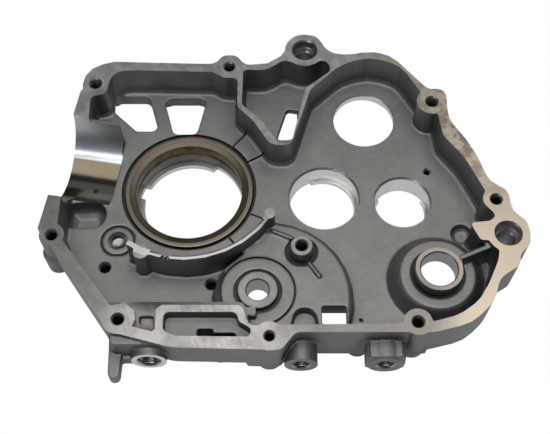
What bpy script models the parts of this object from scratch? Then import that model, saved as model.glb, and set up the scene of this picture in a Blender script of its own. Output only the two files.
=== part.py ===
"""Right-hand crankcase half of a small horizontal single-cylinder engine, lying on its outer gasket face.

Plan positions are millimetres from the crankshaft axis, +X towards the gearbox and +Y up the engine.
Depths are millimetres below the split face, which looks up. The origin is the middle of the underside.
"""

from math import acos
from math import atan2
from math import ceil
from math import cos
from math import degrees
from math import hypot
from math import pi
from math import radians
from math import sin
from math import tan

import bmesh
import bpy
from mathutils import Vector

MM = 0.001
ARC_STEP = 26.0
OVERRUN = 2.0
FIT_GAP = 0.3

# Levels below the split face
THICKNESS = 42.0
FLOOR_DEPTH = 21.5
WEB = 4.5
WALL_DEPTH = 30.0
BREATHER_DEPTH = 21.0
PLATFORM_DEPTH = 10.5
FLOOR_FILLET = 3.0

# Outer wall of the case, each corner as x, y and corner radius
CASE_CORNERS = [
    (-66.0, 53.9, 1.5),
    (-63.8, 54.6, 1.0),
    (-64.6, 67.5, 5.0),
    (-59.0, 78.0, 14.0),
    (33.0, 75.2, 8.0),
    (51.5, 77.0, 30.0),
    (86.0, 83.0, 12.0),
    (97.9, 83.3, 12.0),
    (106.5, 85.6, 22.0),
    (120.0, 83.0, 20.0),
    (141.0, 57.5, 5.0),
    (151.6, 57.5, 7.0),
    (151.6, 36.0, 18.0),
    (164.0, 16.5, 45.0),
    (171.0, -6.0, 12.0),
    (181.0, -12.5, 7.0),
    (182.0, -25.5, 9.0),
    (190.0, -32.5, 8.0),
    (190.0, -46.5, 8.0),
    (183.0, -52.5, 6.0),
    (183.0, -59.0, 6.0),
    (171.0, -66.5, 10.0),
    (166.5, -80.5, 18.0),
    (153.5, -93.0, 25.0),
    (133.5, -98.0, 10.0),
    (61.0, -98.0, 5.0),
    (53.5, -108.0, 5.0),
    (-3.5, -106.5, 25.0),
    (-37.0, -97.5, 8.0),
    (-84.0, -30.0, 8.0),
]
WALL_DRAFT = 0.8
WALL_FOOT = 4.0
WALL_FOOT_HEIGHT = 3.0

# Crank chamber and gearbox chamber, one open space inside the rim
CHAMBER_CORNERS = [
    (-58.7, 52.2, 3.0),
    (-49.8, 53.4, 5.0),
    (-47.6, 70.9, 13.0),
    (-30.0, 71.0, 20.0),
    (13.5, 69.9, 8.0),
    (19.5, 65.6, 6.0),
    (28.0, 65.6, 3.0),
    (28.0, 44.4, 6.0),
    (37.0, 35.6, 18.0),
    (47.8, 17.8, 8.0),
    (59.6, 17.8, 6.0),
    (71.2, 57.0, 6.0),
    (89.0, 74.5, 16.0),
    (106.7, 82.0, 24.0),
    (126.0, 74.5, 18.0),
    (138.8, 51.0, 3.0),
    (145.6, 40.5, 5.0),
    (147.5, 24.6, 9.0),
    (158.5, 9.6, 30.0),
    (168.8, -14.0, 4.0),
    (166.2, -20.5, 5.0),
    (172.0, -27.2, 4.0),
    (171.8, -31.6, 3.0),
    (157.9, -33.2, 1.5),
    (162.7, -43.8, 2.0),
    (169.5, -43.9, 4.0),
    (172.3, -50.2, 4.0),
    (170.8, -56.6, 9.0),
    (164.8, -69.6, 20.0),
    (158.3, -80.1, 14.0),
    (147.3, -88.1, 15.0),
    (133.3, -92.0, 8.0),
    (112.0, -93.2, 15.0),
    (36.0, -94.0, 4.0),
    (33.0, -79.5, 4.0),
    (-29.0, -79.5, 3.0),
    (-35.0, -85.5, 4.0),
    (-66.5, -43.0, 3.0),
    (-69.7, -39.5, 2.0),
    (-69.2, 10.0, 1.0),
    (-58.7, 10.0, 1.0),
]

# Breather chamber behind its own rib
BREATHER_CORNERS = [
    (31.2, 71.8, 2.5),
    (44.6, 71.0, 12.0),
    (55.6, 79.0, 5.0),
    (67.6, 74.6, 9.0),
    (81.5, 79.6, 4.0),
    (84.0, 71.0, 4.0),
    (68.6, 58.2, 5.0),
    (59.6, 19.0, 4.0),
    (52.2, 18.8, 4.0),
    (42.4, 35.4, 14.0),
    (30.6, 46.2, 3.0),
]
BREATHER_SLOT = [
    (57.6, 57.4, 2.0),
    (65.3, 56.4, 2.0),
    (61.2, 35.6, 3.0),
    (51.0, 34.8, 2.0),
]

# Windows through the crank chamber floor
WINDOWS = [
    [(-48.0, 67.3, 4.0), (-27.3, 67.3, 4.0), (-20.0, 41.7, 3.5), (-33.5, 41.7, 3.0), (-48.0, 56.0, 4.0)],
    [(-18.0, 65.9, 4.0), (8.5, 65.9, 4.0), (3.0, 39.6, 3.5), (-11.0, 39.6, 3.5)],
]

# Hollow underside: the outer wall stays thick down to the clutch side
UNDERSIDE_WALL = 12.0

# Clutch cover rim, the face that the case rests on
COVER_RIM_CORNERS = [
    (-42.5, 42.5, 42.0),
    (20.0, 42.5, 20.0),
    (44.0, 26.0, 18.0),
    (66.0, 26.0, 10.0),
    (74.0, 84.0, 10.0),
    (122.0, 86.0, 24.0),
    (150.0, 48.0, 15.0),
    (165.0, 8.0, 20.0),
    (176.0, -30.0, 15.0),
    (165.0, -62.0, 15.0),
    (158.0, -82.0, 20.0),
    (130.0, -91.0, 20.0),
    (60.0, -92.0, 12.0),
    (45.0, -96.0, 10.0),
    (-18.0, -96.0, 12.0),
    (-70.0, -36.0, 10.0),
    (-42.5, -20.0, 15.0),
]
COVER_RIM_WIDTH = 6.0
COVER_BOSS_RADIUS = 6.5
COVER_SCREW_RADIUS = 2.6
COVER_SCREW_DEPTH = 16.0
COVER_SCREWS = [
    (24.0, 35.5),
    (70.5, 66.0),
    (141.0, 56.0),
    (161.0, 5.0),
    (161.0, -64.0),
    (96.0, -89.0),
    (20.0, -92.5),
    (-37.0, -70.5),
    (-40.0, -18.0),
]

# Crankshaft bore and the steel sleeve pressed into it
SLEEVE_INNER_RADIUS = 31.0
SLEEVE_WALL = 6.5
SLEEVE_OUTER_RADIUS = SLEEVE_INNER_RADIUS + SLEEVE_WALL
SLEEVE_MOUTH = 1.4
SLEEVE_EDGE = 0.7
SLEEVE_TOP_DEPTH = 21.0
CRANK_LIP = 3.5
CRANK_LIP_RADIUS = SLEEVE_INNER_RADIUS - 3.2
CRANK_LIP_SECTORS = [(62.0, 154.0), (172.0, 265.0)]
CRANK_GROOVE_RADIUS = SLEEVE_OUTER_RADIUS + 1.9
CRANK_GROOVE_DEPTH = 1.6
CRANK_BOSS_WALL = 4.8

# Gearbox shaft bores: centre, seat radius, lip radius, lip sectors
SHAFT_BORES = [
    ((78.8, -5.1), 20.0, 18.2, [(-75.0, 112.0)]),
    ((124.3, -7.7), 16.0, 14.4, [(148.0, 392.0)]),
]
SHAFT_MOUTH = 1.1
SHAFT_SEAT = 12.0
SHAFT_LIP = 2.5
SHAFT_BOSS_WALL = 5.0
DRUM_CENTRE = (104.1, 49.4)
DRUM_RADIUS = 18.3

# Cylinder spigot: a half bore whose axis lies in the split face
SPIGOT_ANGLE = 9.3
SPIGOT_RADIUS = 27.5
SPIGOT_SHELL = 6.0
SPIGOT_START = 43.6
GASKET_DISTANCE = 73.2
GASKET_WALL = 9.5
GASKET_WALL_DEPTH = 40.0
GASKET_SIDE_NEAR = -49.0
GASKET_SIDE_FAR = 45.0
RIDGE_DEPTH = 4.5
RIDGE_SIDE = 29.5
RIDGE_FOOT = 13.0
RIDGE_END = 44.4
RIDGE_CORNER = 5.0
SPIGOT_OIL_SLOT = [(-55.3, 4.4), (-55.3, 0.2)]
SPIGOT_OIL_RADIUS = 1.5

# Scooped pocket in the floor beside the spigot
SCOOP_END = (-56.1, -16.0)
SCOOP_RADIUS = 8.8
SCOOP_DEPTH = 33.0
SCOOP_FILLET = 5.0
SCOOP_WALL = 4.5
SCOOP_LENGTHENING = 4.5
SCOOP_CORNER = 3.0

# Crank chamber wall, concentric with the crankshaft
ARC_OUTER = 56.0
ARC_THICKNESS = 3.0
ARC_SPAN = (236.0, 330.0)
KNOB_RADIUS = 3.2
LUG_ANGLE = 246.0
LUG_RADIUS = 4.2
SLIT_ANGLES = (259.0, 261.5)
SLIT_WIDTH = 1.8
SLIT_DEPTH = 3.0

# Raised pads beside the crank bore: start angle, end angle, outer radius
PADS = [(29.5, 50.0, 50.0), (-52.5, -24.0, 48.0)]
PAD_HEIGHT = 1.0

# Bosses that stand on a skirt with a rounded edge
BOSS_DRAFT = 1.5
BOSS_EDGE = 1.6
GROOVE_DEPTH = 1.2
UNDER_BOSS_WALL = 6.5

# Kick shaft boss
KICK_CENTRE = (139.6, -59.0)
KICK_HOLE = 10.0
KICK_COLLAR = 13.3
KICK_COLLAR_DEPTH = 4.5
KICK_GROOVE = 15.0
KICK_DISC = 22.0
KICK_DISC_DEPTH = 11.0
KICK_SKIRT = 27.4
KICK_UNDER_DEPTH = 38.0
KICK_RIB = [(150.0, -53.5), (170.0, -44.8)]
KICK_RIB_WIDTH = 3.0
KICK_RIB_DEPTH = 3.0
KICK_RECESS = (156.9, -28.7)
KICK_RECESS_RADIUS = 6.2
KICK_RECESS_DEPTH = 26.5
KICK_RECESS_WALL = 3.5

# Gear shift shaft boss and the raised platform beside it
SHIFT_CENTRE = (40.9, -69.9)
SHIFT_HOLE = 6.1
SHIFT_COLLAR = 11.2
SHIFT_COLLAR_DEPTH = 8.0
SHIFT_GROOVE = 13.0
SHIFT_DISC = 19.4
SHIFT_DISC_DEPTH = 9.6
SHIFT_SKIRT = 25.0
SHIFT_UNDER_DEPTH = 34.0
PLATFORM_CENTRE = (46.3, -72.6)
PLATFORM_RADIUS = 47.0
PLATFORM_EDGE = 4.0
PLATFORM_SPAN = (85.0, -30.0)
PLATFORM_BACK = [(84.0, -96.0), (34.0, -96.0), (28.9, -78.0), (22.0, -56.5), (38.0, -42.0)]
STUD_CENTRE = (64.9, -45.5)
STUD_HOLE = 3.2
STUD_COLLAR = 6.5
STUD_COLLAR_DEPTH = 3.0
STUD_GROOVE = 9.0
PLATFORM_RIBS = [[(67.0, -50.5), (75.0, -62.0)], [(60.5, -38.5), (48.5, -33.0)]]
PLATFORM_RIB_WIDTH = 1.8
PLATFORM_RIB_HEIGHT = 2.0
ARCH_POCKET = [
    (58.5, -92.0, 1.0),
    (61.0, -79.5, 6.5),
    (71.5, -79.5, 6.5),
    (74.0, -92.0, 1.0),
]
ARCH_POCKET_DEPTH = 17.5
PLATFORM_WINDOW = [(75.5, -78.4, 1.5), (88.8, -78.4, 1.5), (88.8, -89.4, 1.5), (75.5, -89.4, 1.5)]

# Oil gallery block behind the front wall
GALLERY_TOP_DEPTH = 3.0
GALLERY_BLOCK = [
    (-40.0, -79.5, 3.0),
    (34.0, -79.5, 3.0),
    (40.0, -104.0, 3.0),
    (-36.0, -104.0, 3.0),
]
GALLERY_RIB = [(-10.4, -100.0), (-10.4, -84.6), (40.0, -84.6)]
GALLERY_RIB_WIDTH = 4.0
GALLERY_POCKET = [
    (-8.4, -86.6, 3.0),
    (30.0, -86.6, 3.0),
    (31.5, -92.0, 2.0),
    (38.0, -96.0, 2.0),
    (37.0, -100.6, 2.0),
    (-2.0, -100.0, 4.0),
    (-8.4, -97.0, 3.0),
]
GALLERY_POCKET_DEPTH = 7.0
GALLERY_PATCH = [(-22.0, -87.2, 1.5), (-13.5, -87.2, 1.5), (-13.5, -94.0, 1.5), (-21.0, -93.0, 1.5)]
GALLERY_SLOTS = [
    [(9.2, -93.2, 0.5), (17.4, -93.2, 0.5), (17.4, -97.0, 0.5), (9.2, -97.0, 0.5)],
    [(16.0, -95.6, 0.4), (29.5, -95.6, 0.4), (29.5, -97.6, 0.4), (16.0, -97.6, 0.4)],
]
GALLERY_SLOT_DEPTH = 16.0

# Rim bolt bosses: x, y, boss radius, hole radius
BOLT_BOSSES = [
    (-56.7, 61.4, 6.5, 3.3),
    (22.8, 73.9, 7.6, 3.0),
    (142.8, 48.4, 9.0, 3.3),
    (173.8, -18.1, 7.5, 3.0),
    (125.3, -92.1, 7.6, 3.0),
    (47.3, -100.1, 8.2, 2.5),
    (-32.2, -90.6, 8.5, 3.0),
    (-72.2, -40.6, 7.0, 3.0),
]
BOLT_DEPTH = 24.0
BOLT_CHAMFER = 0.8
BOLT_BOSS_DEPTH = 31.0

# Engine mounting lugs
MOUNTS = [(68.3, 86.4), (178.3, -39.6)]
MOUNT_RADIUS = 12.0
MOUNT_BORE = 5.0
MOUNT_COUNTERBORE = 7.0
MOUNT_COUNTERBORE_DEPTH = 8.0
MOUNT_DEPTH = 36.0
MOUNT_LUG = [
    (41.0, 75.4, 2.0),
    (54.5, 80.4, 16.0),
    (61.3, 97.8, 6.0),
    (75.3, 97.8, 6.0),
    (83.4, 83.4, 14.0),
    (97.0, 83.2, 2.0),
    (84.0, 78.5, 4.0),
]
TOP_BOLT_LUG = [
    (6.0, 68.0, 1.0),
    (6.0, 76.0, 1.0),
    (14.5, 76.0, 7.0),
    (18.6, 82.4, 5.0),
    (27.0, 82.4, 5.0),
    (32.0, 75.2, 7.0),
    (40.0, 75.2, 1.0),
    (40.0, 68.0, 1.0),
]

# Tapped holes in the floor: x, y, radius
FLOOR_HOLES = [(-45.2, -50.1, 3.0), (14.8, -60.5, 3.0), (140.1, 12.9, 1.7)]
FLOOR_HOLE_DEPTH = 10.0
FLOOR_HOLE_WALL = 3.0
FLOOR_DRILLING = (97.3, -81.9)
FLOOR_DRILLING_RADIUS = 1.0
DRAIN_BACK_CENTRE = (-39.2, -33.1)
DRAIN_BACK_RADIUS = 10.0
DRAIN_BACK_GROOVE = 1.2
DRAIN_BACK_HOLE = 4.2

# Bosses on the front wall, drilled along Y: x, depth, radius, hole radius
FRONT_FACE = -108.4
DRAIN_PLUG = (-16.2, 15.0, 9.5, 6.0)
FOOTPEG_BOSSES = [(64.1, 20.5, 9.0, 4.6), (109.2, 20.5, 9.0, 4.6)]
FRONT_HOLE_DEPTH = 16.0
FRONT_BOSS_ROOT = 14.0
FOOTPEG_BLOCK_WIDTH = 17.6
FOOTPEG_BLOCK_HEIGHT = 9.0
PEG_X = -34.7
PEG_TIP = -117.6
PEG_WIDTH = 6.0
PEG_TOP_DEPTH = 15.5
PEG_BOTTOM_DEPTH = 24.0
LEDGE_END = -20.0
LEDGE_FRONT = -106.5
LEDGE_DEPTH = 17.5
FRONT_STEP = [(-12.0, -99.5, 1.0), (33.0, -99.5, 4.0), (42.0, -125.0, 1.0), (-26.0, -125.0, 1.0)]
FRONT_STEP_DEPTH = 19.0

# Stiffening ribs on the clutch side, each between two plan points
UNDER_RIBS = [
    ((40.0, -2.0), (58.0, -4.0)),
    ((28.0, -30.0), (40.0, -58.0)),
    ((98.0, -6.0), (105.0, -7.0)),
    ((90.0, -26.0), (112.0, -90.0)),
    ((139.0, -12.0), (166.0, -14.0)),
    ((127.0, -24.0), (135.0, -44.0)),
    ((52.0, -70.0), (124.0, -62.0)),
    ((84.0, 14.0), (90.0, 76.0)),
    ((131.0, 8.0), (148.0, 38.0)),
    ((-20.0, -38.0), (-40.0, -70.0)),
    ((10.0, -42.0), (8.0, -94.0)),
]
UNDER_RIB_WIDTH = 3.2
UNDER_RIB_DEPTH = 34.0

# Overall plan extent, from the pieces that reach furthest
RIGHT_END = MOUNTS[1][0] + MOUNT_RADIUS
BACK_END = MOUNTS[0][1] + MOUNT_RADIUS


def level(depth):
    """Height of a level that lies this far below the split face."""
    return THICKNESS - depth


def along_spigot(distance, side):
    """Plan point this far from the crankshaft along the cylinder axis, and this far to its upper side."""
    angle = radians(SPIGOT_ANGLE)
    x = -distance * cos(angle) + side * sin(angle)
    y = distance * sin(angle) + side * cos(angle)
    return (x, y)


def circle(centre, radius, count):
    """Plan circle, counter-clockwise."""
    turns = [2 * pi * i / count for i in range(count)]
    return [(centre[0] + radius * cos(a), centre[1] + radius * sin(a)) for a in turns]


def arc(centre, radius, start, end):
    """Plan points along an arc between two angles in degrees."""
    count = max(2, ceil(abs(end - start) / ARC_STEP * (2 if radius > 20 else 1)))
    turns = [radians(start + (end - start) * i / count) for i in range(count + 1)]
    return [(centre[0] + radius * cos(a), centre[1] + radius * sin(a)) for a in turns]


def area(loop):
    """Signed area of a plan loop."""
    return sum(a[0] * b[1] - b[0] * a[1] for a, b in zip(loop, loop[1:] + loop[:1])) / 2


def counter_clockwise(loop):
    """The same loop, turned to run counter-clockwise."""
    return loop if area(loop) > 0 else loop[::-1]


def inset(corners, distance):
    """Corners moved inwards, with their radii changed to stay parallel."""
    corners = counter_clockwise(corners)
    moved = []
    for before, corner, after in zip(corners[-1:] + corners[:-1], corners, corners[1:] + corners[:1]):
        one = Vector((corner[0] - before[0], corner[1] - before[1])).normalized()
        two = Vector((after[0] - corner[0], after[1] - corner[1])).normalized()
        normals = Vector((-one.y - two.y, one.x + two.x))
        step = distance * normals / (1 + one.dot(two))
        turn = 1 if one.x * two.y - one.y * two.x > 0 else -1
        moved.append((corner[0] + step.x, corner[1] + step.y, max(0.3, corner[2] - turn * distance)))
    return moved


def rounded(corners):
    """Plan loop through the corners, each rounded with an arc that is no longer than its sides allow."""
    corners = counter_clockwise(corners)
    loop = []
    for before, corner, after in zip(corners[-1:] + corners[:-1], corners, corners[1:] + corners[:1]):
        point = Vector(corner[:2])
        back = Vector(before[:2]) - point
        ahead = Vector(after[:2]) - point
        turn = pi - acos(max(-1.0, min(1.0, back.normalized().dot(ahead.normalized()))))
        if turn < radians(1.0):
            loop.append(tuple(point))
            continue
        reach = min(corner[2] * tan(turn / 2), 0.48 * back.length, 0.48 * ahead.length)
        radius = reach / tan(turn / 2)
        start = point + back.normalized() * reach
        end = point + ahead.normalized() * reach
        middle = point + (back.normalized() + ahead.normalized()).normalized() * hypot(radius, reach)
        count = max(1, ceil(degrees(turn) / ARC_STEP))
        first = atan2(start.y - middle.y, start.x - middle.x)
        sweep = atan2(end.y - middle.y, end.x - middle.x) - first
        sweep = (sweep + pi) % (2 * pi) - pi
        for i in range(count + 1):
            angle = first + sweep * i / count
            loop.append((middle.x + radius * cos(angle), middle.y + radius * sin(angle)))
    return loop


def ribbon(start, end, width):
    """Plan rectangle around the line between two points."""
    along = (Vector(end) - Vector(start)).normalized() * width / 2
    side = Vector((-along.y, along.x))
    corners = (Vector(start) - side, Vector(end) - side, Vector(end) + side, Vector(start) + side)
    return [tuple(corner) for corner in corners]


def add_object(name, mesh_data, group):
    """Object in a group of cast pieces or of cutters, which only the Booleans use."""
    bmesh.ops.recalc_face_normals(mesh_data, faces=mesh_data.faces)
    mesh = bpy.data.meshes.new(name)
    mesh_data.to_mesh(mesh)
    mesh_data.free()
    thing = bpy.data.objects.new(name, mesh)
    group.objects.link(thing)
    thing.parent = datum
    if group is not scene_group:
        thing.hide_render = True
        thing.display_type = "WIRE"
    return thing


def loft(name, sections, group):
    """Closed solid through plan loops of equal length, each at its own height."""
    shape = bmesh.new()
    rings = []
    for loop, height in sections:
        rings.append([shape.verts.new((x * MM, y * MM, height * MM)) for x, y in loop])
    for low, high in zip(rings, rings[1:]):
        for i in range(len(low)):
            j = (i + 1) % len(low)
            shape.faces.new((low[i], low[j], high[j], high[i]))
    shape.faces.new(rings[0][::-1])
    shape.faces.new(rings[-1])
    return add_object(name, shape, group)


def prism(name, loop, bottom, top, group):
    """Plan loop extruded between two heights."""
    return loft(name, [(loop, bottom), (loop, top)], group)


def drum(name, centre, profile, group, count=28):
    """Upright turned solid through radius and height pairs, bottom first."""
    return loft(name, [(circle(centre, radius, count), height) for radius, height in profile], group)


def post(name, centre, radius, bottom, top, group, count=24):
    """Upright cylinder between two heights."""
    return drum(name, centre, [(radius, bottom), (radius, top)], group, count)


def band(name, outer, inner, bottom, top, group):
    """Upright wall between two plan loops of equal length."""
    shape = bmesh.new()
    rings = []
    for loop, height in ((outer, bottom), (outer, top), (inner, top), (inner, bottom)):
        rings.append([shape.verts.new((x * MM, y * MM, height * MM)) for x, y in loop])
    for low, high in zip(rings, rings[1:] + rings[:1]):
        for i in range(len(low)):
            j = (i + 1) % len(low)
            shape.faces.new((low[i], low[j], high[j], high[i]))
    return add_object(name, shape, group)


def front_drum(name, x, height, radius, near, far, group, count=24):
    """Turned solid along Y, for the bosses and holes of the front wall."""
    shape = bmesh.new()
    ends = []
    for y in (near, far):
        ring = circle((x, height), radius, count)
        ends.append([shape.verts.new((across * MM, y * MM, up * MM)) for across, up in ring])
    for i in range(count):
        j = (i + 1) % count
        shape.faces.new((ends[0][i], ends[0][j], ends[1][j], ends[1][i]))
    shape.faces.new(ends[0][::-1])
    shape.faces.new(ends[1])
    return add_object(name, shape, group)


def spigot_drum(name, radius, near, far, group, count=48):
    """Turned solid along the cylinder axis, which lies in the split face."""
    shape = bmesh.new()
    ends = []
    for distance in (near, far):
        ring = []
        for i in range(count):
            angle = 2 * pi * i / count
            x, y = along_spigot(distance, radius * cos(angle))
            ring.append(shape.verts.new(Vector((x, y, THICKNESS + radius * sin(angle))) * MM))
        ends.append(ring)
    for i in range(count):
        j = (i + 1) % count
        shape.faces.new((ends[0][i], ends[0][j], ends[1][j], ends[1][i]))
    shape.faces.new(ends[0][::-1])
    shape.faces.new(ends[1])
    return add_object(name, shape, group)


def stepped_circle(centre, radius, small_radius, sectors):
    """Plan loop that is a circle with a smaller radius in the given sectors."""
    loop = []
    start = sectors[0][0]
    for i, (first, last) in enumerate(sectors):
        following = sectors[(i + 1) % len(sectors)][0]
        while following <= last:
            following += 360
        loop += arc(centre, small_radius, first, last)
        loop += arc(centre, radius, last, following)
    return loop


def material(name, colour, roughness, metallic):
    """Plain finish of one piece."""
    finish = bpy.data.materials.new(name)
    finish.use_nodes = True
    shader = finish.node_tree.nodes["Principled BSDF"]
    shader.inputs["Base Color"].default_value = (*colour, 1.0)
    shader.inputs["Roughness"].default_value = roughness
    shader.inputs["Metallic"].default_value = metallic
    return finish


def combine(target, operation, group):
    """Boolean of the casting with everything in a group."""
    step = target.modifiers.new(group.name, "BOOLEAN")
    step.operation = operation
    step.operand_type = "COLLECTION"
    step.collection = group
    step.solver = "EXACT"


def outer_walls():
    """Case block down to the foot of the outer wall, with a drafted and rounded wall."""
    sections = [
        (rounded(inset(CASE_CORNERS, WALL_FOOT)), level(WALL_DEPTH)),
        (rounded(inset(CASE_CORNERS, WALL_DRAFT)), level(WALL_DEPTH - WALL_FOOT_HEIGHT)),
        (rounded(CASE_CORNERS), level(-OVERRUN)),
    ]
    return loft("crankcase_casting", sections, scene_group)


def chambers():
    """Pockets cast into both sides of the web."""
    for name, corners, depth in (
        ("chamber", CHAMBER_CORNERS, FLOOR_DEPTH),
        ("breather", BREATHER_CORNERS, BREATHER_DEPTH),
    ):
        sections = [
            (rounded(inset(corners, FLOOR_FILLET * 0.6)), level(depth)),
            (rounded(corners), level(depth - FLOOR_FILLET)),
            (rounded(corners), level(-2 * OVERRUN)),
        ]
        loft(name, sections, pockets)
    underside = rounded(inset(CASE_CORNERS, UNDERSIDE_WALL))
    prism("underside", underside, level(WALL_DEPTH) - OVERRUN, level(FLOOR_DEPTH + WEB), hollow)


def front_step():
    """Step that undercuts the front wall below the oil gallery."""
    prism("front_step", rounded(FRONT_STEP), -OVERRUN, level(FRONT_STEP_DEPTH), hollow)


def cover_rim():
    """Clutch cover rim with its screw bosses, down to the face that the case rests on."""
    outer = rounded(COVER_RIM_CORNERS)
    inner = rounded(inset(COVER_RIM_CORNERS, COVER_RIM_WIDTH))
    band("cover_rim", outer, inner, -OVERRUN, level(FLOOR_DEPTH + WEB / 2), features)
    for i, centre in enumerate(COVER_SCREWS):
        post(f"cover_boss_{i}", centre, COVER_BOSS_RADIUS, -OVERRUN, level(FLOOR_DEPTH + 2), features, 14)
        post(f"cover_screw_{i}", centre, COVER_SCREW_RADIUS, -OVERRUN, COVER_SCREW_DEPTH, machining, 8)


def crank_bore():
    """Boss, sleeve bore and retaining lip around the crankshaft."""
    floor = level(FLOOR_DEPTH)
    groove = floor - CRANK_GROOVE_DEPTH
    boss = SLEEVE_OUTER_RADIUS + CRANK_BOSS_WALL
    post("crank_boss", (0, 0), boss, -OVERRUN, floor - WEB / 6, features, 44)
    post("sleeve_bore", (0, 0), SLEEVE_OUTER_RADIUS + FIT_GAP, CRANK_LIP, level(0), machining, 48)
    post("sleeve_groove", (0, 0), CRANK_GROOVE_RADIUS, groove, floor + OVERRUN, machining, 48)
    throat = stepped_circle((0, 0), SLEEVE_INNER_RADIUS, CRANK_LIP_RADIUS, CRANK_LIP_SECTORS)
    prism("crank_throat", throat, -2 * OVERRUN, CRANK_LIP + OVERRUN, machining)


def sleeve():
    """Steel sleeve pressed into the crankshaft bore."""
    top = level(SLEEVE_TOP_DEPTH)
    bottom = CRANK_LIP + FIT_GAP
    profile = [
        (SLEEVE_INNER_RADIUS, bottom),
        (SLEEVE_INNER_RADIUS, top - SLEEVE_MOUTH),
        (SLEEVE_INNER_RADIUS + SLEEVE_MOUTH, top),
        (SLEEVE_OUTER_RADIUS - SLEEVE_EDGE, top),
        (SLEEVE_OUTER_RADIUS, top - SLEEVE_EDGE),
        (SLEEVE_OUTER_RADIUS, bottom),
    ]
    shape = bmesh.new()
    count = 72
    rings = []
    for radius, height in profile:
        loop = circle((0, 0), radius, count)
        rings.append([shape.verts.new((x * MM, y * MM, height * MM)) for x, y in loop])
    for low, high in zip(rings, rings[1:] + rings[:1]):
        for i in range(count):
            j = (i + 1) % count
            shape.faces.new((low[i], low[j], high[j], high[i]))
    return add_object("main_bearing_sleeve", shape, scene_group)


def shaft_bores():
    """Bearing seats of the gearbox shafts, with their lips, and the shift drum hole."""
    for i, (centre, seat, lip, sectors) in enumerate(SHAFT_BORES):
        lip_top = level(FLOOR_DEPTH + SHAFT_SEAT)
        boss = seat + SHAFT_BOSS_WALL
        post(f"shaft_boss_{i}", centre, boss, lip_top - SHAFT_LIP, level(FLOOR_DEPTH + 1), features, 32)
        mouth = level(FLOOR_DEPTH)
        seat_profile = [
            (seat, lip_top),
            (seat, mouth - SHAFT_MOUTH),
            (seat + SHAFT_MOUTH, mouth),
            (seat + SHAFT_MOUTH, mouth + OVERRUN),
        ]
        drum(f"shaft_seat_{i}", centre, seat_profile, machining, 44)
        throat = stepped_circle(centre, seat, lip, sectors)
        prism(f"shaft_throat_{i}", throat, lip_top - SHAFT_LIP - OVERRUN, lip_top + OVERRUN, machining)
    floor = level(FLOOR_DEPTH)
    post("drum_hole", DRUM_CENTRE, DRUM_RADIUS, level(WALL_DEPTH), floor + OVERRUN, machining, 44)


def spigot():
    """Half bore for the cylinder with its shell, gasket wall and the ridge above it."""
    far = GASKET_DISTANCE + OVERRUN
    spigot_drum("spigot_shell", SPIGOT_RADIUS + SPIGOT_SHELL, SPIGOT_START - SPIGOT_SHELL, far, walls)
    near_inner = along_spigot(GASKET_DISTANCE - GASKET_WALL, GASKET_SIDE_NEAR)
    far_inner = along_spigot(GASKET_DISTANCE - GASKET_WALL, GASKET_SIDE_FAR)
    near_outer = along_spigot(far, GASKET_SIDE_NEAR)
    far_outer = along_spigot(far, GASKET_SIDE_FAR)
    corners = [(*near_inner, 1.0), (*far_inner, 1.0), (*far_outer, 1.0), (*near_outer, 1.0)]
    prism("gasket_wall", rounded(corners), level(GASKET_WALL_DEPTH), level(-OVERRUN), walls)
    ridge_root = GASKET_DISTANCE - GASKET_WALL / 2
    ridge = [
        (*along_spigot(RIDGE_END, RIDGE_FOOT), 1.0),
        (*along_spigot(RIDGE_END, RIDGE_SIDE), RIDGE_CORNER),
        (*along_spigot(ridge_root, RIDGE_SIDE), 1.0),
        (*along_spigot(ridge_root, RIDGE_FOOT), 1.0),
    ]
    prism("spigot_ridge", rounded(ridge), level(FLOOR_DEPTH + 2), level(RIDGE_DEPTH), features)
    spigot_drum("spigot_bore", SPIGOT_RADIUS, SPIGOT_START, far + OVERRUN, machining)
    bottom = level(SPIGOT_RADIUS + SPIGOT_SHELL + OVERRUN)
    top = level(FLOOR_DEPTH - WEB)
    oil_slot = [(*corner, SPIGOT_OIL_RADIUS) for corner in ribbon(*SPIGOT_OIL_SLOT, 2 * SPIGOT_OIL_RADIUS)]
    prism("spigot_oil_hole", rounded(oil_slot), bottom, top, machining)
    reach = 2 * GASKET_SIDE_FAR
    face = [along_spigot(GASKET_DISTANCE, side) for side in (-reach, reach)]
    beyond = [along_spigot(GASKET_DISTANCE + reach, side) for side in (reach, -reach)]
    prism("gasket_face", face + beyond, level(THICKNESS) - 2 * OVERRUN, level(-3 * OVERRUN), machining)


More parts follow.
